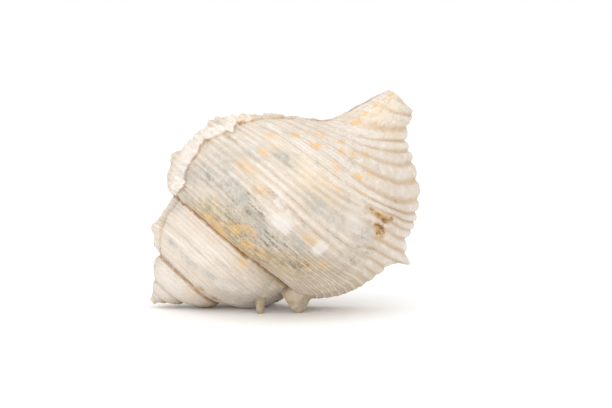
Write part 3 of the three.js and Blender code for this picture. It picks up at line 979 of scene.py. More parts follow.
@dataclass
class Spout:
    """The short spout at the top of the aperture, which the shell rests on, and the groove inside it."""

    start: float = -26.0
    full: float = -17.0
    inner: tuple[float, float] = (28.2, 18.0)
    outer: tuple[float, float] = (33.6, 25.0)
    tip: float = 27.8
    tip_half: float = 0.8
    arch: float = 1.1
    sunk: float = 0.3
    rough: float = 0.16
    sections: int = 44
    groove_sections: int = 14
    groove_start: float = -16.0
    groove: tuple[tuple[float, float], ...] = (
        (28.6, 21), (27, 21.6), (26.6, 23.2), (27.2, 24.6), (28.8, 24.6), (30.2, 23.6), (33, 23), (33, 20.6))

    @staticmethod
    def rounded(corners: Array, parts: int, ease: float) -> Array:
        """Draw closed smooth rings through corner points.

        Args:
            corners: Corner points as (rings, corners, two).
            parts: Steps from one corner to the next.
            ease: 0 for straight sides, 1 for a full curve.

        Returns:
            Points as (rings, corners x parts, two).
        """
        count = corners.shape[1]
        t = np.arange(count * parts) / parts
        i = np.floor(t).astype(int)
        f = (t - i)[None, :, None]
        p0, p1, p2, p3 = (corners[:, (i + k - 1) % count] for k in range(4))
        a, b = 0.5 * ease * (p2 - p0), 0.5 * ease * (p3 - p1)
        return p1 + a * f + (-3 * p1 + 3 * p2 - 2 * a - b) * f**2 + (2 * p1 - 2 * p2 + a + b) * f**3

    def build(self, sweep: Sweep, sculpture: Sculpture) -> Solid:
        """Make the spout.

        Args:
            sweep: Maker of swept solids.
            sculpture: What roughens the surface.

        Returns:
            The closed solid.
        """
        form = sweep.form
        angles = np.linspace(self.start, LIP, self.sections)
        full = smooth_step(angles, self.start - 6, self.full)
        share = np.clip((angles - self.full) / (LIP - self.full), 0, 1)
        level = (self.tip * math.sin(form.rise) - form.ground + self.sunk) / (
            math.cos(form.rise) * np.cos(np.radians(angles)))
        reach = level - self.arch * np.sin(np.pi * share)
        (near, low), (far, high) = self.inner, self.outer
        tip = (high - 1) * (1 - full) + reach * full
        corners = np.stack([np.stack(np.broadcast_arrays(along, out, tip)[:2], -1) for along, out in (
            (near, low - 2), (near - 0.5, low), (near - 1.1, low + (tip - low) * 0.62),
            (self.tip - self.tip_half, tip - 0.3), (self.tip + self.tip_half, tip),
            (far - 2.2, high + (tip - high) * 0.45), (far, high), (far, low - 2),
        )], axis=1)
        ring = self.rounded(corners, 9, 0.7)
        spokes = np.arange(ring.shape[1])[None]
        rough = self.rough * sculpture.fine.layered(angles[:, None] / 5, spokes / 7.0, 3)
        away = ring - ring.mean(axis=1, keepdims=True)
        ring = ring + away / np.maximum(np.linalg.norm(away, axis=2, keepdims=True), 1e-6) * rough[..., None]
        growth = np.repeat(angles[:, None], ring.shape[1], axis=1)
        return sweep.solid("spout", ring, growth, np.full_like(growth, STAND), 0.0)

    def build_groove(self, sweep: Sweep) -> Solid:
        """Make the groove inside the spout.

        Args:
            sweep: Maker of swept solids.

        Returns:
            A closed solid to cut away.
        """
        angles = np.linspace(self.groove_start, LIP + 2.0, self.groove_sections)
        ring = self.rounded(np.repeat(np.array(self.groove)[None], len(angles), axis=0), 5, 0.8)
        growth = np.repeat(angles[:, None], ring.shape[1], axis=1)
        return sweep.solid("groove", ring, growth, np.full_like(growth, STAND), 1.0)


@dataclass
class Rods:
    """The columella's pillar along the axis and the worn peg under the spire."""

    pillar_radius: float = 1.4
    pillar_top: float = 1.2
    pillar_end: float = 79.4
    peg_foot: tuple[float, float, float] = (22.96, 17.7, -28.0)
    peg_end: tuple[float, float, float] = (20.1, 21.5, -28.0)
    peg_thick: float = 1.4
    peg_thin: float = 0.8
    peg_growth: float = -395.0
    pillar_growth: float = -30.0
    sides: int = 36
    cuts: int = 14
    roughness: float = 0.13

    def rod(self, name: str, foot: Vector, end: Vector, radii: tuple[float, float],
            rough: Grain | None, growth: float, line: float) -> Solid:
        """Make a tapered rod between two places.

        Args:
            name: Name for the object.
            foot: Where it starts.
            end: Where it ends.
            radii: Its radius at each, in metres.
            rough: Unevenness of its side, or None.
            growth: Growth angle that its surface counts as.
            line: Outline position that its surface counts as.

        Returns:
            The closed solid.
        """
        axis = end - foot
        bm = bmesh.new()
        bmesh.ops.create_cone(
            bm, cap_ends=True, cap_tris=False, segments=self.sides,
            radius1=radii[0], radius2=radii[1], depth=axis.length)
        sides = [e for e in bm.edges if abs(e.verts[0].co.z - e.verts[1].co.z) > axis.length / 2]
        bmesh.ops.subdivide_edges(bm, edges=sides, cuts=self.cuts, use_grid_fill=True)
        if rough is not None:
            for v in bm.verts:
                turn = math.atan2(v.co.y, v.co.x) * self.sides / (2 * math.pi)
                bump = rough.layered(np.array(turn / 5 + 60), np.array(v.co.z * 900), 2)
                push = 1 + self.roughness * float(bump)
                v.co.x *= push
                v.co.y *= push
        turn = axis.to_track_quat("Z", "Y").to_matrix().to_4x4()
        bmesh.ops.transform(bm, matrix=Matrix.Translation((foot + end) / 2) @ turn, verts=bm.verts)
        mesh = mesh_of(bm, name)
        Sweep.point_out(mesh)
        places = np.array([v.co for v in mesh.vertices], float)
        full = np.full(len(places), growth)
        return Solid(add(name, mesh), full, np.full(len(places), line), full * 0, places)

    def build(self, form: GrowthForm, rough: Grain) -> list[Solid]:
        """Make the pillar and the peg.

        Args:
            form: The growth form.
            rough: Unevenness of the peg.

        Returns:
            The two closed solids.
        """
        def spot(along: float, out: float, growth: float) -> Vector:
            """Find one place in the frame."""
            return Vector(form.place(np.array(along), np.array(out), np.array(growth)))

        pillar = self.rod(
            "pillar", spot(self.pillar_top, 0, 0), spot(self.pillar_end, 0, 0),
            (self.pillar_radius * 0.5 * MM, self.pillar_radius * MM), None, self.pillar_growth, LAST_LINE)
        peg = self.rod(
            "peg", spot(*self.peg_foot), spot(*self.peg_end),
            (self.peg_thick * MM, self.peg_thin * MM), rough, self.peg_growth, STAND)
        return [pillar, peg]


class Socket:
    """A node's output that sums and products can be written with."""

    def __init__(self, sheet: "Sheet", socket: bpy.types.NodeSocket | None) -> None:
        """Wrap an output of a node on a sheet."""
        self.sheet = sheet
        self.socket = socket

    def maths(self, operation: str, first: object, second: object) -> "Socket":
        """Add a Math node for two values or outputs."""
        return self.sheet.node("ShaderNodeMath", {"operation": operation}, {0: first, 1: second})

    def __add__(self, other: object) -> "Socket":
        """Add."""
        return self.maths("ADD", self, other)

    def __sub__(self, other: object) -> "Socket":
        """Subtract."""
        return self.maths("SUBTRACT", self, other)

    def __rsub__(self, other: object) -> "Socket":
        """Subtract from a number."""
        return self.maths("SUBTRACT", other, self)

    def __mul__(self, other: object) -> "Socket":
        """Multiply."""
        return self.maths("MULTIPLY", self, other)

    def __pow__(self, other: object) -> "Socket":
        """Raise to a power."""
        return self.maths("POWER", self, other)

    def wave(self) -> "Socket":
        """Rise to 1 at each whole number and fall to 0 between two."""
        turned = self * (2 * math.pi)
        return turned.maths("COSINE", turned, 0.0) * 0.5 + 0.5

    def step(self, low: float, high: float) -> "Socket":
        """Rise smoothly from 0 to 1.

        Args:
            low: Where the rise starts.
            high: Where it ends.

        Returns:
            The risen value.
        """
        settings = {"interpolation_type": "SMOOTHSTEP", "clamp": True}
        span = {"Value": self, "From Min": low, "From Max": high}
        return self.sheet.node("ShaderNodeMapRange", settings, span)


class Sheet:
    """The nodes of one material."""

    def __init__(self, name: str) -> None:
        """Start an empty material.

        Args:
            name: The material's name.
        """
        self.material = bpy.data.materials.new(name)
        self.material.use_nodes = True
        self.tree = self.material.node_tree
        self.tree.nodes.clear()

    def node(self, kind: str, settings: dict[str, object], inputs: dict[object, object],
             out: object = 0) -> Socket:
        """Add a node.

        Args:
            kind: The node's type.
            settings: Its properties, set first.
            inputs: Values or outputs for its sockets, by name, identifier or number.
            out: Which output to return, by name, identifier or number.

        Returns:
            The chosen output.
        """
        made = self.tree.nodes.new(kind)
        for key, value in settings.items():
            setattr(made, key, value)
        for key, value in inputs.items():
            target = self.find(made.inputs, key)
            if isinstance(value, Socket):
                self.tree.links.new(value.socket, target)
            else:
                target.default_value = value
        return Socket(self, self.find(made.outputs, out)) if len(made.outputs) else Socket(self, None)

    @staticmethod
    def find(sockets: bpy.types.bpy_prop_collection, key: object) -> bpy.types.NodeSocket:
        """Pick a socket.

        Args:
            sockets: A node's inputs or outputs.
            key: Its number, identifier or name.

        Returns:
            The socket.
        """
        if isinstance(key, int):
            return sockets[key]
        return next((s for s in sockets if s.identifier == key), None) or sockets[key]

    def blend(self, factor: object, first: object, second: object) -> Socket:
        """Mix two colours.

        Args:
            factor: Share of the second.
            first: First colour or output.
            second: Second colour or output.

        Returns:
            The mixed colour.
        """
        return self.node(
            "ShaderNodeMix", {"data_type": "RGBA", "blend_type": "MIX", "clamp_factor": True},
            {"Factor_Float": factor, "A_Color": first, "B_Color": second}, "Result_Color")

    def carried(self, name: str) -> Socket:
        """Read a value that the surface carries."""
        return self.node("ShaderNodeAttribute", {"attribute_name": name}, {}, "Fac")

    def noise(self, where: Socket, scale: float, detail: float = 3.0, roughness: float = 0.55,
              shift: float = 0.0) -> Socket:
        """Add a noise pattern.

        Args:
            where: Coordinates.
            scale: Repeats a unit.
            detail: Layers of finer noise.
            roughness: Strength of the finer layers.
            shift: Picks another pattern of the same kind.

        Returns:
            Values around 0.5.
        """
        return self.node("ShaderNodeTexNoise", {"noise_dimensions": "4D"}, {
            "Vector": where, "W": shift, "Scale": scale, "Detail": detail, "Roughness": roughness})


Coats = tuple[tuple[Socket, object], ...]


class Patterns:
    """The noises, cords and carried marks that the shell's finish is mixed from."""

    BROAD = 95.0
    BLOTCH = 420.0
    GRIT = 1900.0
    GRAIN = 620.0
    PITS = 1500.0

    def __init__(self, sheet: Sheet) -> None:
        """Lay the patterns out.

        Args:
            sheet: The material's nodes.
        """
        self.sheet = sheet
        self.spot = sheet.node("ShaderNodeTexCoord", {}, {}, "Object")
        self.spiral = sheet.node("ShaderNodeAttribute", {"attribute_name": "spiral"}, {}, "Vector")
        self.inner, self.flare = sheet.carried("inner"), sheet.carried("flare")
        self.cord = sheet.carried("cord").wave()
        self.groove = (1.0 - self.cord) ** 5.0
        self.fine_line = (1.0 - sheet.carried("thread").wave()) ** 5.0
        self.broad = sheet.noise(self.spot, self.BROAD)
        self.blotch = sheet.noise(self.spot, self.BLOTCH, 4.0, 0.6)
        self.grit = sheet.noise(self.spot, self.GRIT, 3.0, 0.7)
        self.grain = sheet.noise(self.spot, self.GRAIN, 5.0, 0.75).step(0.36, 0.64)
        self.ragged = self.blotch * 0.6 + self.grit * 0.4
        self.pits = sheet.node(
            "ShaderNodeTexVoronoi", {}, {"Vector": self.spot, "Scale": self.PITS}, "Distance")
        self.streak = self.stretched((0.14, 1.0), 1.3, 3.0, 0.6)
        self.strands = self.streak.step(0.35, 0.65)
        self.growth_lines = self.stretched((1.0, 0.12), 1.6, 3.0, 0.6)
        self.clouds = self.stretched((0.4, 1.0), 0.55, 5.0, 0.65)
        self.islands = self.stretched((0.4, 1.0), 0.8, 4.0, 0.6, 7.0)
        self.bands = self.stretched((0.05, 1.0), 0.45, 2.0, 0.5)
        self.flecks = self.stretched((0.6, 1.0), 2.0, 3.0, 0.6, 3.0)

    def stretched(self, stretch: tuple[float, float], *kind: float) -> Socket:
        """Add a noise over the shell's coordinates, closer or wider along the growth and across it."""
        where = self.sheet.node("ShaderNodeMapping", {}, {"Vector": self.spiral, "Scale": (*stretch, 1.0)})
        return self.sheet.noise(where, *kind)

    def marked(self, mark: Mark) -> Socket:
        """Read how strong a kind of wear or stain is."""
        return self.sheet.carried(mark.value)

    def stain(self, mark: Mark, strength: float, grip: float) -> Socket:
        """Find how thick a stain or painted shade lies, broken up by the grain and gathered in the grooves.

        Args:
            mark: Where the stain lies.
            strength: How thick it lies at most.
            grip: 0 for a stain broken by the grain, 1 for one broken into strands.

        Returns:
            The share that it covers.
        """
        broken = (self.marked(mark) * (self.grain * (1.0 - grip) + self.strands * grip + 0.35)) ** 0.9
        return broken * (strength - self.cord * 0.2)


@dataclass(frozen=True)
class ShellFinish:
    """Worn lime-white shell with cream cords, tan grooves and old stains, and painted shade between the lip's
    flutes, on the spout and peg and under the spire.
    """

    ivory: Colour = shade(222, 213, 203)
    cream: Colour = shade(216, 202, 185)
    stone: Colour = shade(184, 177, 168)
    rose: Colour = shade(233, 225, 217)
    groove: Colour = shade(162, 137, 104)
    # colour of dirt in the lip's grooves, and of painted shade between its flutes
    lip_groove_dirt_and_shade: Colour = shade(194, 164, 130)
    olive: Colour = shade(180, 162, 126)
    drab: Colour = shade(160, 146, 122)
    dun: Colour = shade(186, 172, 152)
    slate: Colour = shade(172, 170, 164)
    soot: Colour = shade(84, 78, 66)
    ochre: Colour = shade(230, 184, 114)
    butter: Colour = shade(234, 215, 184)
    rust: Colour = shade(190, 150, 92)
    chalk: Colour = shade(229, 226, 222)
    seam: Colour = shade(158, 112, 56)
    umber: Colour = shade(112, 80, 50)
    # painted shade colour for the spout and peg
    tan: Colour = shade(158, 138, 108)
    glaze: Colour = shade(242, 230, 212)
    blush: Colour = shade(232, 204, 170)
    bump_depth: float = 0.00022

    def make(self) -> bpy.types.Material:
        """Build the material.

        Returns:
            The finished material.
        """
        s = Sheet("shell_lime")
        p = Patterns(s)
        colour = s.blend(p.broad.step(0.36, 0.64), self.ivory, self.cream)
        for share, tint in self.ground(p) + self.stains(p) + self.grooves(p) + self.scars(p) + self.seams(p):
            colour = s.blend(share, colour, tint)
        rough = 0.84 - p.marked(Mark.WORN) * 0.2 - p.cord * 0.06 + (p.grit - 0.5) * 0.12
        rough = rough - p.inner.step(0.1, 0.6) * 0.5
        height = p.growth_lines * 0.5 + p.streak * 0.3 + p.grit * 0.4 + p.blotch * 0.5
        height = height - (1.0 - p.pits.step(0.08, 0.4)) * 0.25
        height = height - p.fine_line * 0.3 * (1.0 - p.flare) - p.groove * 0.25
        outside = 1.0 - p.inner.step(0.1, 0.5)
        bump = s.node("ShaderNodeBump", {}, {
            "Height": height * (outside * 0.88 + 0.12), "Strength": 0.6, "Distance": self.bump_depth})
        lime = s.node("ShaderNodeBsdfPrincipled", {}, {
            "Base Color": colour, "Roughness": rough, "Normal": bump, "IOR": 1.5, "Specular IOR Level": 0.32})
        s.node("ShaderNodeOutputMaterial", {}, {"Surface": lime})
        return s.material

    def ground(self, p: Patterns) -> Coats:
        """Mix the clean shell: clouds, islands, growth lines and pale cords.

        Args:
            p: The patterns.

        Returns:
            Coats, each with the share it covers and its colour.
        """
        return (
            (p.clouds.step(0.5, 0.68) * (0.85 - p.flare * 0.7), self.stone),
            (p.islands.step(0.52, 0.64) * 0.7, self.rose),
            ((1.0 - p.clouds.step(0.3, 0.44)) * 0.4, self.butter),
            (p.growth_lines.step(0.5, 0.75) * 0.3, self.cream),
            ((p.cord ** 2.0) * p.blotch.step(0.4, 0.7) * 0.3, self.rose),
            ((1.0 - p.grit.step(0.3, 0.55)) * 0.22, self.drab),
        )

    def stains(self, p: Patterns) -> Coats:
        """Lay the broad stains, the painted shade under the spire and the ochre flecks.

        Args:
            p: The patterns.

        Returns:
            Coats, each with the share it covers and its colour.
        """
        olive_stain_and_shade = p.sheet.blend(p.blotch.step(0.4, 0.6), self.olive, self.drab)
        olive_stain_and_shade = p.sheet.blend(p.islands.step(0.5, 0.62) * 0.45, olive_stain_and_shade, self.ochre)
        fleck = (p.marked(Mark.OCHRE) * 0.9 + p.flecks - 0.6).step(0.0, 0.55)
        return (
            (p.stain(Mark.BUTTER, 0.75, 0.2), self.butter),
            (p.stain(Mark.WORN, 0.8, 0.2), self.stone),
            (p.stain(Mark.DUN, 1.0, 0.3), self.dun),
            # olive coat: stains on the body, and painted shade on the underside of the spire
            (p.stain(Mark.OLIVE, 1.25, 0.3), olive_stain_and_shade),
            (p.stain(Mark.SLATE, 1.0, 0.15), self.slate),
            (fleck * 0.7, self.ochre),
        )

    def grooves(self, p: Patterns) -> Coats:
        """Darken the grooves between cords, flutes and threads with dirt, and paint shade between the lip's
        flutes.

        Args:
            p: The patterns.

        Returns:
            Coats, each with the share it covers and its colour.
        """
        quiet = (1.0 - p.marked(Mark.WORN).step(0.2, 0.8) * 0.6) * p.sheet.carried("youth")
        broken = (p.streak * 1.1 + p.blotch * 0.9 - 0.5).step(0.1, 0.85)
        dirt = p.groove * p.sheet.carried("grime") * (p.bands.step(0.4, 0.6) * 0.8 + 0.3) * broken
        tint = p.sheet.blend(p.flare.step(0.0, 0.2), self.groove, self.lip_groove_dirt_and_shade)
        # painted shade in the hollows between the lip's flutes
        rib_painted_shade = ((1.0 - p.cord) ** 4.0) * p.flare.step(0.03, 0.35) * (p.blotch * 0.8 + 0.4)
        faint = p.fine_line * (1.0 - p.flare.step(0.0, 0.3)) * (p.streak + p.grit - 0.5).step(0.1, 0.8)
        combed = p.fine_line * p.sheet.carried("combed") * (p.grit * 0.7 + p.blotch * 0.6)
        return (
            (dirt * quiet * 0.9, tint),
            (rib_painted_shade * 0.7, self.lip_groove_dirt_and_shade),
            (faint * quiet * (1.0 - p.bands.step(0.4, 0.6) * 0.5) * 0.4, self.groove),
            (combed * 0.8, self.groove),
        )

    def scars(self, p: Patterns) -> Coats:
        """Lay the rust, soot and chalk, the rubbed crests and the painted shade on the spout and peg.

        Args:
            p: The patterns.

        Returns:
            Coats, each with the share it covers and its colour.
        """
        pitted = p.marked(Mark.RUST).step(0.35, 0.8) * (p.grit * 0.8 + p.strands * 0.5 - 0.55).step(0.0, 0.3)
        specks = (p.grit * 1.3 + p.strands * 0.4 + p.blotch * 0.5 - 0.95).step(0.1, 0.5)
        chalky = (p.marked(Mark.CHALK) + p.ragged * 0.7 - 0.35).step(0.1, 0.9)
        # painted shade for the spout and peg, which sit in shade below the shell
        under = p.sheet.blend(p.blotch.step(0.35, 0.65), self.tan, self.dun)
        return (
            (p.stain(Mark.RUST, 1.3, 0.2), self.rust),
            (pitted * 0.7, self.umber),
            ((p.marked(Mark.SOOT) ** 0.6) * specks * 0.8, self.soot),
            (chalky * 0.55, self.chalk),
            (p.sheet.carried("crest") * (p.islands.step(0.35, 0.6) * 0.5 + 0.35), self.rose),
            (p.sheet.carried("shade_side") * 0.9, under),
        )

    def seams(self, p: Patterns) -> Coats:
        """Darken the sutures and old edges, and glaze the inside.

        Args:
            p: The patterns.

        Returns:
            Coats, each with the share it covers and its colour.
        """
        near = 1.0 - (p.sheet.carried("seam_gap") + p.ragged * 0.8).step(0.55, 1.1)
        crack = p.sheet.carried("edge_tone") * (p.ragged + p.blotch - 0.5).step(0.2, 0.8)
        glaze = p.sheet.blend(p.inner.step(0.9, 1.9) * p.broad.step(0.3, 0.7) * 0.8, self.glaze, self.blush)
        return (
            (near * p.sheet.carried("seam_tone") * 0.95, self.seam),
            (crack * 0.75, self.seam),
            (p.inner.step(0.1, 0.5), glaze),
        )


@dataclass(frozen=True)
class FloorFinish:
    """Matt white studio paper."""

    paper: Colour = shade(252, 252, 252)
    cloud_scale: float = 3.0
    cloud_share: float = 0.1

    def make(self) -> bpy.types.Material:
        """Build the material.

        Returns:
            The material.
        """
        s = Sheet("studio_paper")
        spot = s.node("ShaderNodeTexCoord", {}, {}, "Object")
        tint = s.blend(s.noise(spot, self.cloud_scale) * self.cloud_share, self.paper, WHITE)
        paper = s.node(
            "ShaderNodeBsdfPrincipled", {}, {"Base Color": tint, "Roughness": 1.0, "Specular IOR Level": 0.0})
        s.node("ShaderNodeOutputMaterial", {}, {"Surface": paper})
        return s.material


@dataclass
class ConchShell:
    """The whole shell: its runs of whorl, spout, peg and pillar joined, and its room cut out."""

    form: GrowthForm = field(default_factory=GrowthForm)
    sculpture: Sculpture = field(default_factory=Sculpture)
    finish: ShellFinish = field(default_factory=ShellFinish)
    apex_runs: int = 5
    sliver: float = 0.012
    under: float = 0.4
    crease: float = math.radians(62)
    seam_turn: float = 120.0
    seam_reach: float = 9.0
    body_spacing: tuple[int, ...] = (20, 22, 26, 29, 29, 28, 26, 22, 15, 16, 12)
    back_spacing: tuple[int, ...] = (18, 18, 20, 22, 20, 18, 16, 12, 9, 9, 6)
    spire_spacing: tuple[int, ...] = (22, 24, 26, 28, 16, 6, 4, 4, 3, 3, 2)
    third_spacing: tuple[int, ...] = (14, 16, 18, 18, 10, 4, 2, 2, 2, 2, 2)
    tip_spacing: tuple[int, ...] = (7, 8, 8, 8, 6, 2, 1, 1, 1, 1, 1)

    def whorls(self) -> list[Whorl]:
        """List the runs of whorl.

        Returns:
            The runs, from the apex to the lip.
        """
        turns = np.linspace(APEX, FIRST, self.apex_runs + 1)
        runs = [Whorl(f"tip_{i}", ((a, 0), (b, 40)), self.tip_spacing)
                for i, (a, b) in enumerate(zip(turns[:-1], turns[1:]))]
        spire, back, body = (varix.nominal for varix in (SPIRE_VARIX, BACK_VARIX, BODY_VARIX))
        return runs + [
            Whorl("third", ((FIRST, 0), (spire, 96)), self.third_spacing, None, SPIRE_VARIX),
            Whorl("spire", ((spire, 0), (back, 112)), self.spire_spacing, SPIRE_VARIX, BACK_VARIX),
            Whorl("back", ((back, 0), (-206, 52), (body, 52)), self.back_spacing, BACK_VARIX, BODY_VARIX),
            Whorl("body", ((body, 0), (LIP, 132)), self.body_spacing, BODY_VARIX),
        ]

    def build(self) -> bpy.types.Object:
        """Make, join, cut, dress and place the shell.

        Returns:
            The finished piece.
        """
        sweep = Sweep(self.form)
        solids = [whorl.build(sweep, self.sculpture) for whorl in self.whorls()]
        spout = Spout()
        solids.append(spout.build(sweep, self.sculpture))
        solids.extend(Rods().build(self.form, self.sculpture.fine))
        cutters = [Hollow().build(sweep, self.sculpture), spout.build_groove(sweep)]
        mesh = self.join(solids, cutters)
        self.tidy(mesh)
        ob = add(PIECE, mesh)
        self.coordinates(mesh, solids + cutters)
        for solid in solids + cutters:
            old = solid.ob.data
            bpy.data.objects.remove(solid.ob)
            bpy.data.meshes.remove(old)
        mesh.materials.clear()
        mesh.materials.append(self.finish.make())
        mesh.polygons.foreach_set("material_index", np.zeros(len(mesh.polygons), np.int32))
        mesh.shade_smooth()
        mesh.set_sharp_from_angle(angle=self.crease)
        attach(ob, "root")
        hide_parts(CAD_NODE)
        return ob

    def join(self, solids: list[Solid], cutters: list[Solid]) -> bpy.types.Mesh:
        """Join the solids, cut the rooms out and level the underside.

        Args:
            solids: What is joined.
            cutters: What is cut away.

        Returns:
            One mesh.
        """
        bm = bmesh.new()
        bmesh.ops.create_cube(bm, size=self.under)
        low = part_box(CAD_NODE)[0]
        bmesh.ops.translate(bm, vec=Vector((0, 0, low.z - self.under / 2)), verts=bm.verts)
        ground = add("under", mesh_of(bm, "under"))
        base = add("base", solids[0].ob.data.copy())
        steps = [(s.ob, "UNION") for s in solids[1:]] + [(c.ob, "DIFFERENCE") for c in cutters]
        for other, operation in steps + [(ground, "DIFFERENCE")]:
            joint = base.modifiers.new(other.name, "BOOLEAN")
            joint.object = other
            joint.operation = operation
            joint.solver = "MANIFOLD"
        seen = base.evaluated_get(bpy.context.evaluated_depsgraph_get())
        mesh = bpy.data.meshes.new_from_object(seen)
        mesh.name = PIECE
        bpy.data.objects.remove(base)
        bpy.data.objects.remove(ground)
        return mesh

    @staticmethod
    def triangulate(bm: bmesh.types.BMesh) -> None:
        """Cut every face into triangles, round a middle point where a diagonal would meet another face.

        Args:
            bm: The surface, changed in place.
        """
        trial = bm.copy()
        bmesh.ops.triangulate(trial, faces=trial.faces)
        trial.verts.index_update()
        pairs = [[v.index for v in e.verts] for e in trial.edges if not e.is_manifold]
        trial.free()
        bm.verts.ensure_lookup_table()
        bm.faces.index_update()
        crossed = {f for a, b in pairs for f in set(bm.verts[a].link_faces) & set(bm.verts[b].link_faces)}
        bmesh.ops.poke(bm, faces=sorted((f for f in crossed if len(f.verts) > 3), key=lambda f: f.index))
        bmesh.ops.triangulate(bm, faces=[f for f in bm.faces if len(f.verts) > 3])

    @staticmethod
    def close_up(bm: bmesh.types.BMesh, short: float, rounds: int = 4) -> None:
        """Weld the ends of very short edges wherever that leaves the surface closed.

        Args:
            bm: The surface, changed in place.
            short: Longest edge that is closed up.
            rounds: How often to look again.
        """
        for _ in range(rounds):
            target: dict[bmesh.types.BMVert, bmesh.types.BMVert] = {}
            used: set[bmesh.types.BMVert] = set()
            for edge in bm.edges:
                if edge.calc_length() > short:
                    continue
                a, b = edge.verts
                near_a, near_b = ({e.other_vert(v) for e in v.link_edges} for v in (a, b))
                around = near_a | near_b
                if len(near_a & near_b) == 2 and not around & used:
                    used |= around
                    target[b] = a
            if not target:
                return
            bmesh.ops.weld_verts(bm, targetmap=target)

    @staticmethod
    def bodies(bm: bmesh.types.BMesh) -> list[list[bmesh.types.BMVert]]:
        """Sort the points into bodies that hang together.

        Args:
            bm: The surface.

        Returns:
            The points of each body, largest body first.
        """
        found: list[list[bmesh.types.BMVert]] = []
        seen: set[bmesh.types.BMVert] = set()
        for start in bm.verts:
            if start in seen:
                continue
            seen.add(start)
            body = [start]
            for v in body:
                fresh = [w for w in (e.other_vert(v) for e in v.link_edges) if w not in seen]
                seen.update(fresh)
                body.extend(fresh)
            found.append(body)
        return sorted(found, key=len, reverse=True)

    def tidy(self, mesh: bpy.types.Mesh) -> None:
        """Close up slivers left by the joins and drop any crumb apart from the shell.

        Args:
            mesh: The mesh, changed in place.
        """
        bm = bmesh.new()
        bm.from_mesh(mesh)
        self.triangulate(bm)
        self.close_up(bm, self.sliver * MM)
        crumbs = self.bodies(bm)[1:]
        bmesh.ops.delete(bm, geom=[v for body in crumbs for v in body], context="VERTS")
        open_edges = sum(1 for e in bm.edges if not e.is_manifold)
        LOG.info("crumbs dropped %d, open edges %d", len(crumbs), open_edges)
        bm.to_mesh(mesh)
        bm.free()

    @staticmethod
    def nearest(mesh: bpy.types.Mesh, places: Array | list[Vector]) -> tuple[Array, Array]:
        """Find the nearest of some places to each vertex.

        Args:
            mesh: The mesh.
            places: The places.

        Returns:
            The number of the nearest place and the distance to it, a vertex each.
        """
        tree = kdtree.KDTree(len(places))
        for i, place in enumerate(places):
            tree.insert(place, i)
        tree.balance()
        found = [tree.find(v.co) for v in mesh.vertices]
        return np.array([f[1] for f in found]), np.array([f[2] for f in found])

    def coordinates(self, mesh: bpy.types.Mesh, solids: list[Solid]) -> None:
        """Give every vertex its shell coordinates and marks, as attributes.

        Args:
            mesh: The joined mesh.
            solids: The solids that it came from.
        """
        nearest, _ = self.nearest(mesh, np.concatenate([s.places for s in solids]))
        growth, line, inner = (np.concatenate([getattr(s, key) for s in solids])[nearest]
                               for key in ("growth", "line", "inner"))
        edges = np.empty(len(mesh.edges) * 2, np.int32)
        mesh.edges.foreach_get("vertices", edges)
        a, b = edges.reshape(-1, 2).T
        outer = (inner < 0.5) & (line >= 0)
        seam = (np.abs(growth[a] - growth[b]) > self.seam_turn) & outer[a] & outer[b]
        nearest, gap = self.nearest(mesh, [mesh.vertices[int(v)].co for v in a[seam]])
        tone = np.interp(np.maximum(growth[a], growth[b])[seam][nearest], *SEAM_TONE)
        blemish = self.sculpture.fine.layered(growth / 6, growth * 0 + 3.0, 3)
        where = self.sculpture.cord_line(growth, line)
        since = growth - BODY_VARIX.edge(line)
        fresh = smooth_step(since, -0.1, 0.3) * np.exp(-np.clip(since / 0.65, 0, 9) ** 2)
        old = 0.35 * np.exp(-((growth - SPIRE_VARIX.edge(line)) / 0.6) ** 2)
        values = {
            "cord": np.where(line < 0, 0.0, Sculpture.phase(where, self.sculpture.cords)),
            "thread": np.where(line < 0, 0.0, Sculpture.phase(where, self.sculpture.threads)),
            "inner": inner * (1 + np.clip((LIP - growth) / 60.0, 0.0, 1.0)),
            "seam_gap": np.where(inner > 0.5, self.seam_reach, np.minimum(gap / MM, self.seam_reach)),
            "seam_tone": np.clip(tone * (0.75 + 0.6 * blemish), 0, 1),
            "edge_tone": np.where(outer & (line < 5.4), np.maximum(fresh, old), 0.0),
            "flare": self.sculpture.flare(growth, line) * (line >= 0),
            "youth": np.interp(growth, *YOUTH),
            "grime": np.interp(where + 0.1 * blemish, *GRIME),
            "combed": outer * self.sculpture.combed(growth, line),
            "crest": outer * smooth_step(since, -30.0, -10.0) * (since < 0.05) * (line < 5.6),
            # marks the spout and peg, where painted shade darkens the colour
            "shade_side": (line == STAND) * (inner < 0.5),
        }
        for mark in Mark:
            values[mark.value] = self.sculpture.patch(mark, growth, line) * outer
        for name, value in values.items():
            mesh.attributes.new(name, "FLOAT", "POINT").data.foreach_set("value", value.astype(np.float32))
        radius = self.form.marks(growth)[:, 4, 1]
        along_growth = np.radians(growth) * radius
        across = np.interp(line, *DOWN_LINE)
        spiral = np.stack([along_growth, across, np.zeros_like(across)], -1).astype(np.float32)
        mesh.attributes.new("spiral", "FLOAT_VECTOR", "POINT").data.foreach_set("vector", spiral.ravel())


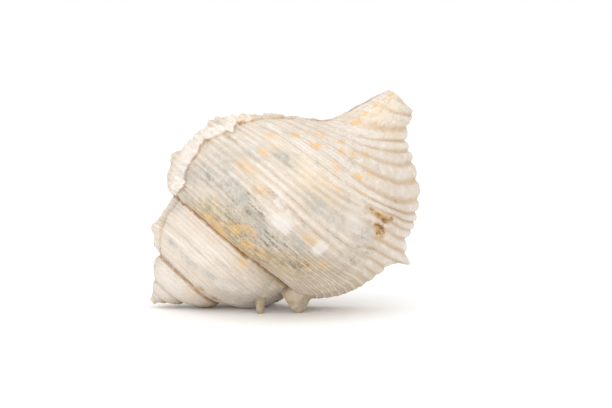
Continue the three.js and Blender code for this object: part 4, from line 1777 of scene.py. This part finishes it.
@dataclass
class Studio:
    """The pale floor, the soft lights and the camera."""

    azimuth: float = 0.0
    elevation: float = math.radians(6.0)
    distance: float = 0.6
    focal: float = 141.2
    aim: tuple[float, float] = (0.0051, 0.0266)
    sensor: float = 36.0
    view_depth: float = 60.0
    floor_half: float = 6.0
    floor_parts: int = 8
    sky: float = 1.02
    lamps: tuple[tuple[str, tuple[float, float, float], tuple[float, float, float], float, float], ...] = (
        ("overhead", (-0.1, -0.1, 0.8), (0.0, 0.0, 0.02), 0.6, 0.9),
        ("front_left", (-0.75, -0.9, 0.4), (-0.01, 0.0, 0.02), 0.7, 3.0),
        ("front_fill", (0.1, -1.1, 0.06), (-0.01, 0.0, 0.01), 0.7, 2.9))

    def build(self, bounds: tuple[Vector, Vector]) -> None:
        """Set up everything round the shell.

        Args:
            bounds: The shell's box.
        """
        self.floor(bounds[0][2])
        for lamp in self.lamps:
            self.light(*lamp)
        world = bpy.data.worlds.new("studio")
        bpy.context.scene.world = world
        world.use_nodes = True
        background = world.node_tree.nodes["Background"]
        background.inputs["Color"].default_value = WHITE
        background.inputs["Strength"].default_value = self.sky
        bpy.context.scene.view_settings.view_transform = "Standard"
        self.camera()

    def floor(self, level: float) -> None:
        """Lay the floor sheet.

        Args:
            level: Its height.
        """
        bm = bmesh.new()
        parts = self.floor_parts
        bmesh.ops.create_grid(bm, x_segments=parts, y_segments=parts, size=self.floor_half)
        bmesh.ops.translate(bm, vec=Vector((0, 0, level)), verts=bm.verts)
        mesh = mesh_of(bm, "floor")
        mesh.materials.append(FloorFinish().make())
        floor = add("floor", mesh)

    def light(self, name: str, place: tuple[float, float, float], aim: tuple[float, float, float],
              size: float, power: float) -> None:
        """Hang a soft square light.

        Args:
            name: Name for the light.
            place: Where it hangs.
            aim: What it faces.
            size: Its side.
            power: Its power in watts.
        """
        lamp = bpy.data.lights.new(name, "AREA")
        lamp.shape = "SQUARE"
        lamp.size = size
        lamp.energy = power
        ob = add(name, lamp)
        ob.location = place
        ob.rotation_euler = (Vector(aim) - Vector(place)).to_track_quat("-Z", "Y").to_euler()

    def camera(self) -> None:
        """Stand the camera off, level with the shell's middle and a little above."""
        lens = bpy.data.cameras.new("camera")
        lens.lens = self.focal
        lens.sensor_width = self.sensor
        lens.clip_end = self.view_depth
        lens.dof.use_dof = False
        ob = add("camera", lens)
        target = Vector((self.aim[0], 0.0, self.aim[1]))
        away = Vector((
            math.sin(self.azimuth) * math.cos(self.elevation),
            -math.cos(self.azimuth) * math.cos(self.elevation),
            math.sin(self.elevation)))
        ob.location = target + away * self.distance
        ob.rotation_euler = (-away).to_track_quat("-Z", "Y").to_euler()
        bpy.context.scene.camera = ob


def main() -> None:
    """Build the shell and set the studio."""
    logging.basicConfig(level=logging.INFO, format="%(name)s: %(message)s")
    shell = ConchShell().build()
    triangles = sum(len(p.vertices) - 2 for p in shell.data.polygons)
    LOG.info("piece %s: %d triangles", shell.name, triangles)
    Studio().build(CAD_BOUNDS)
    LOG.info("studio set")


if __name__ == "__main__":
    main()
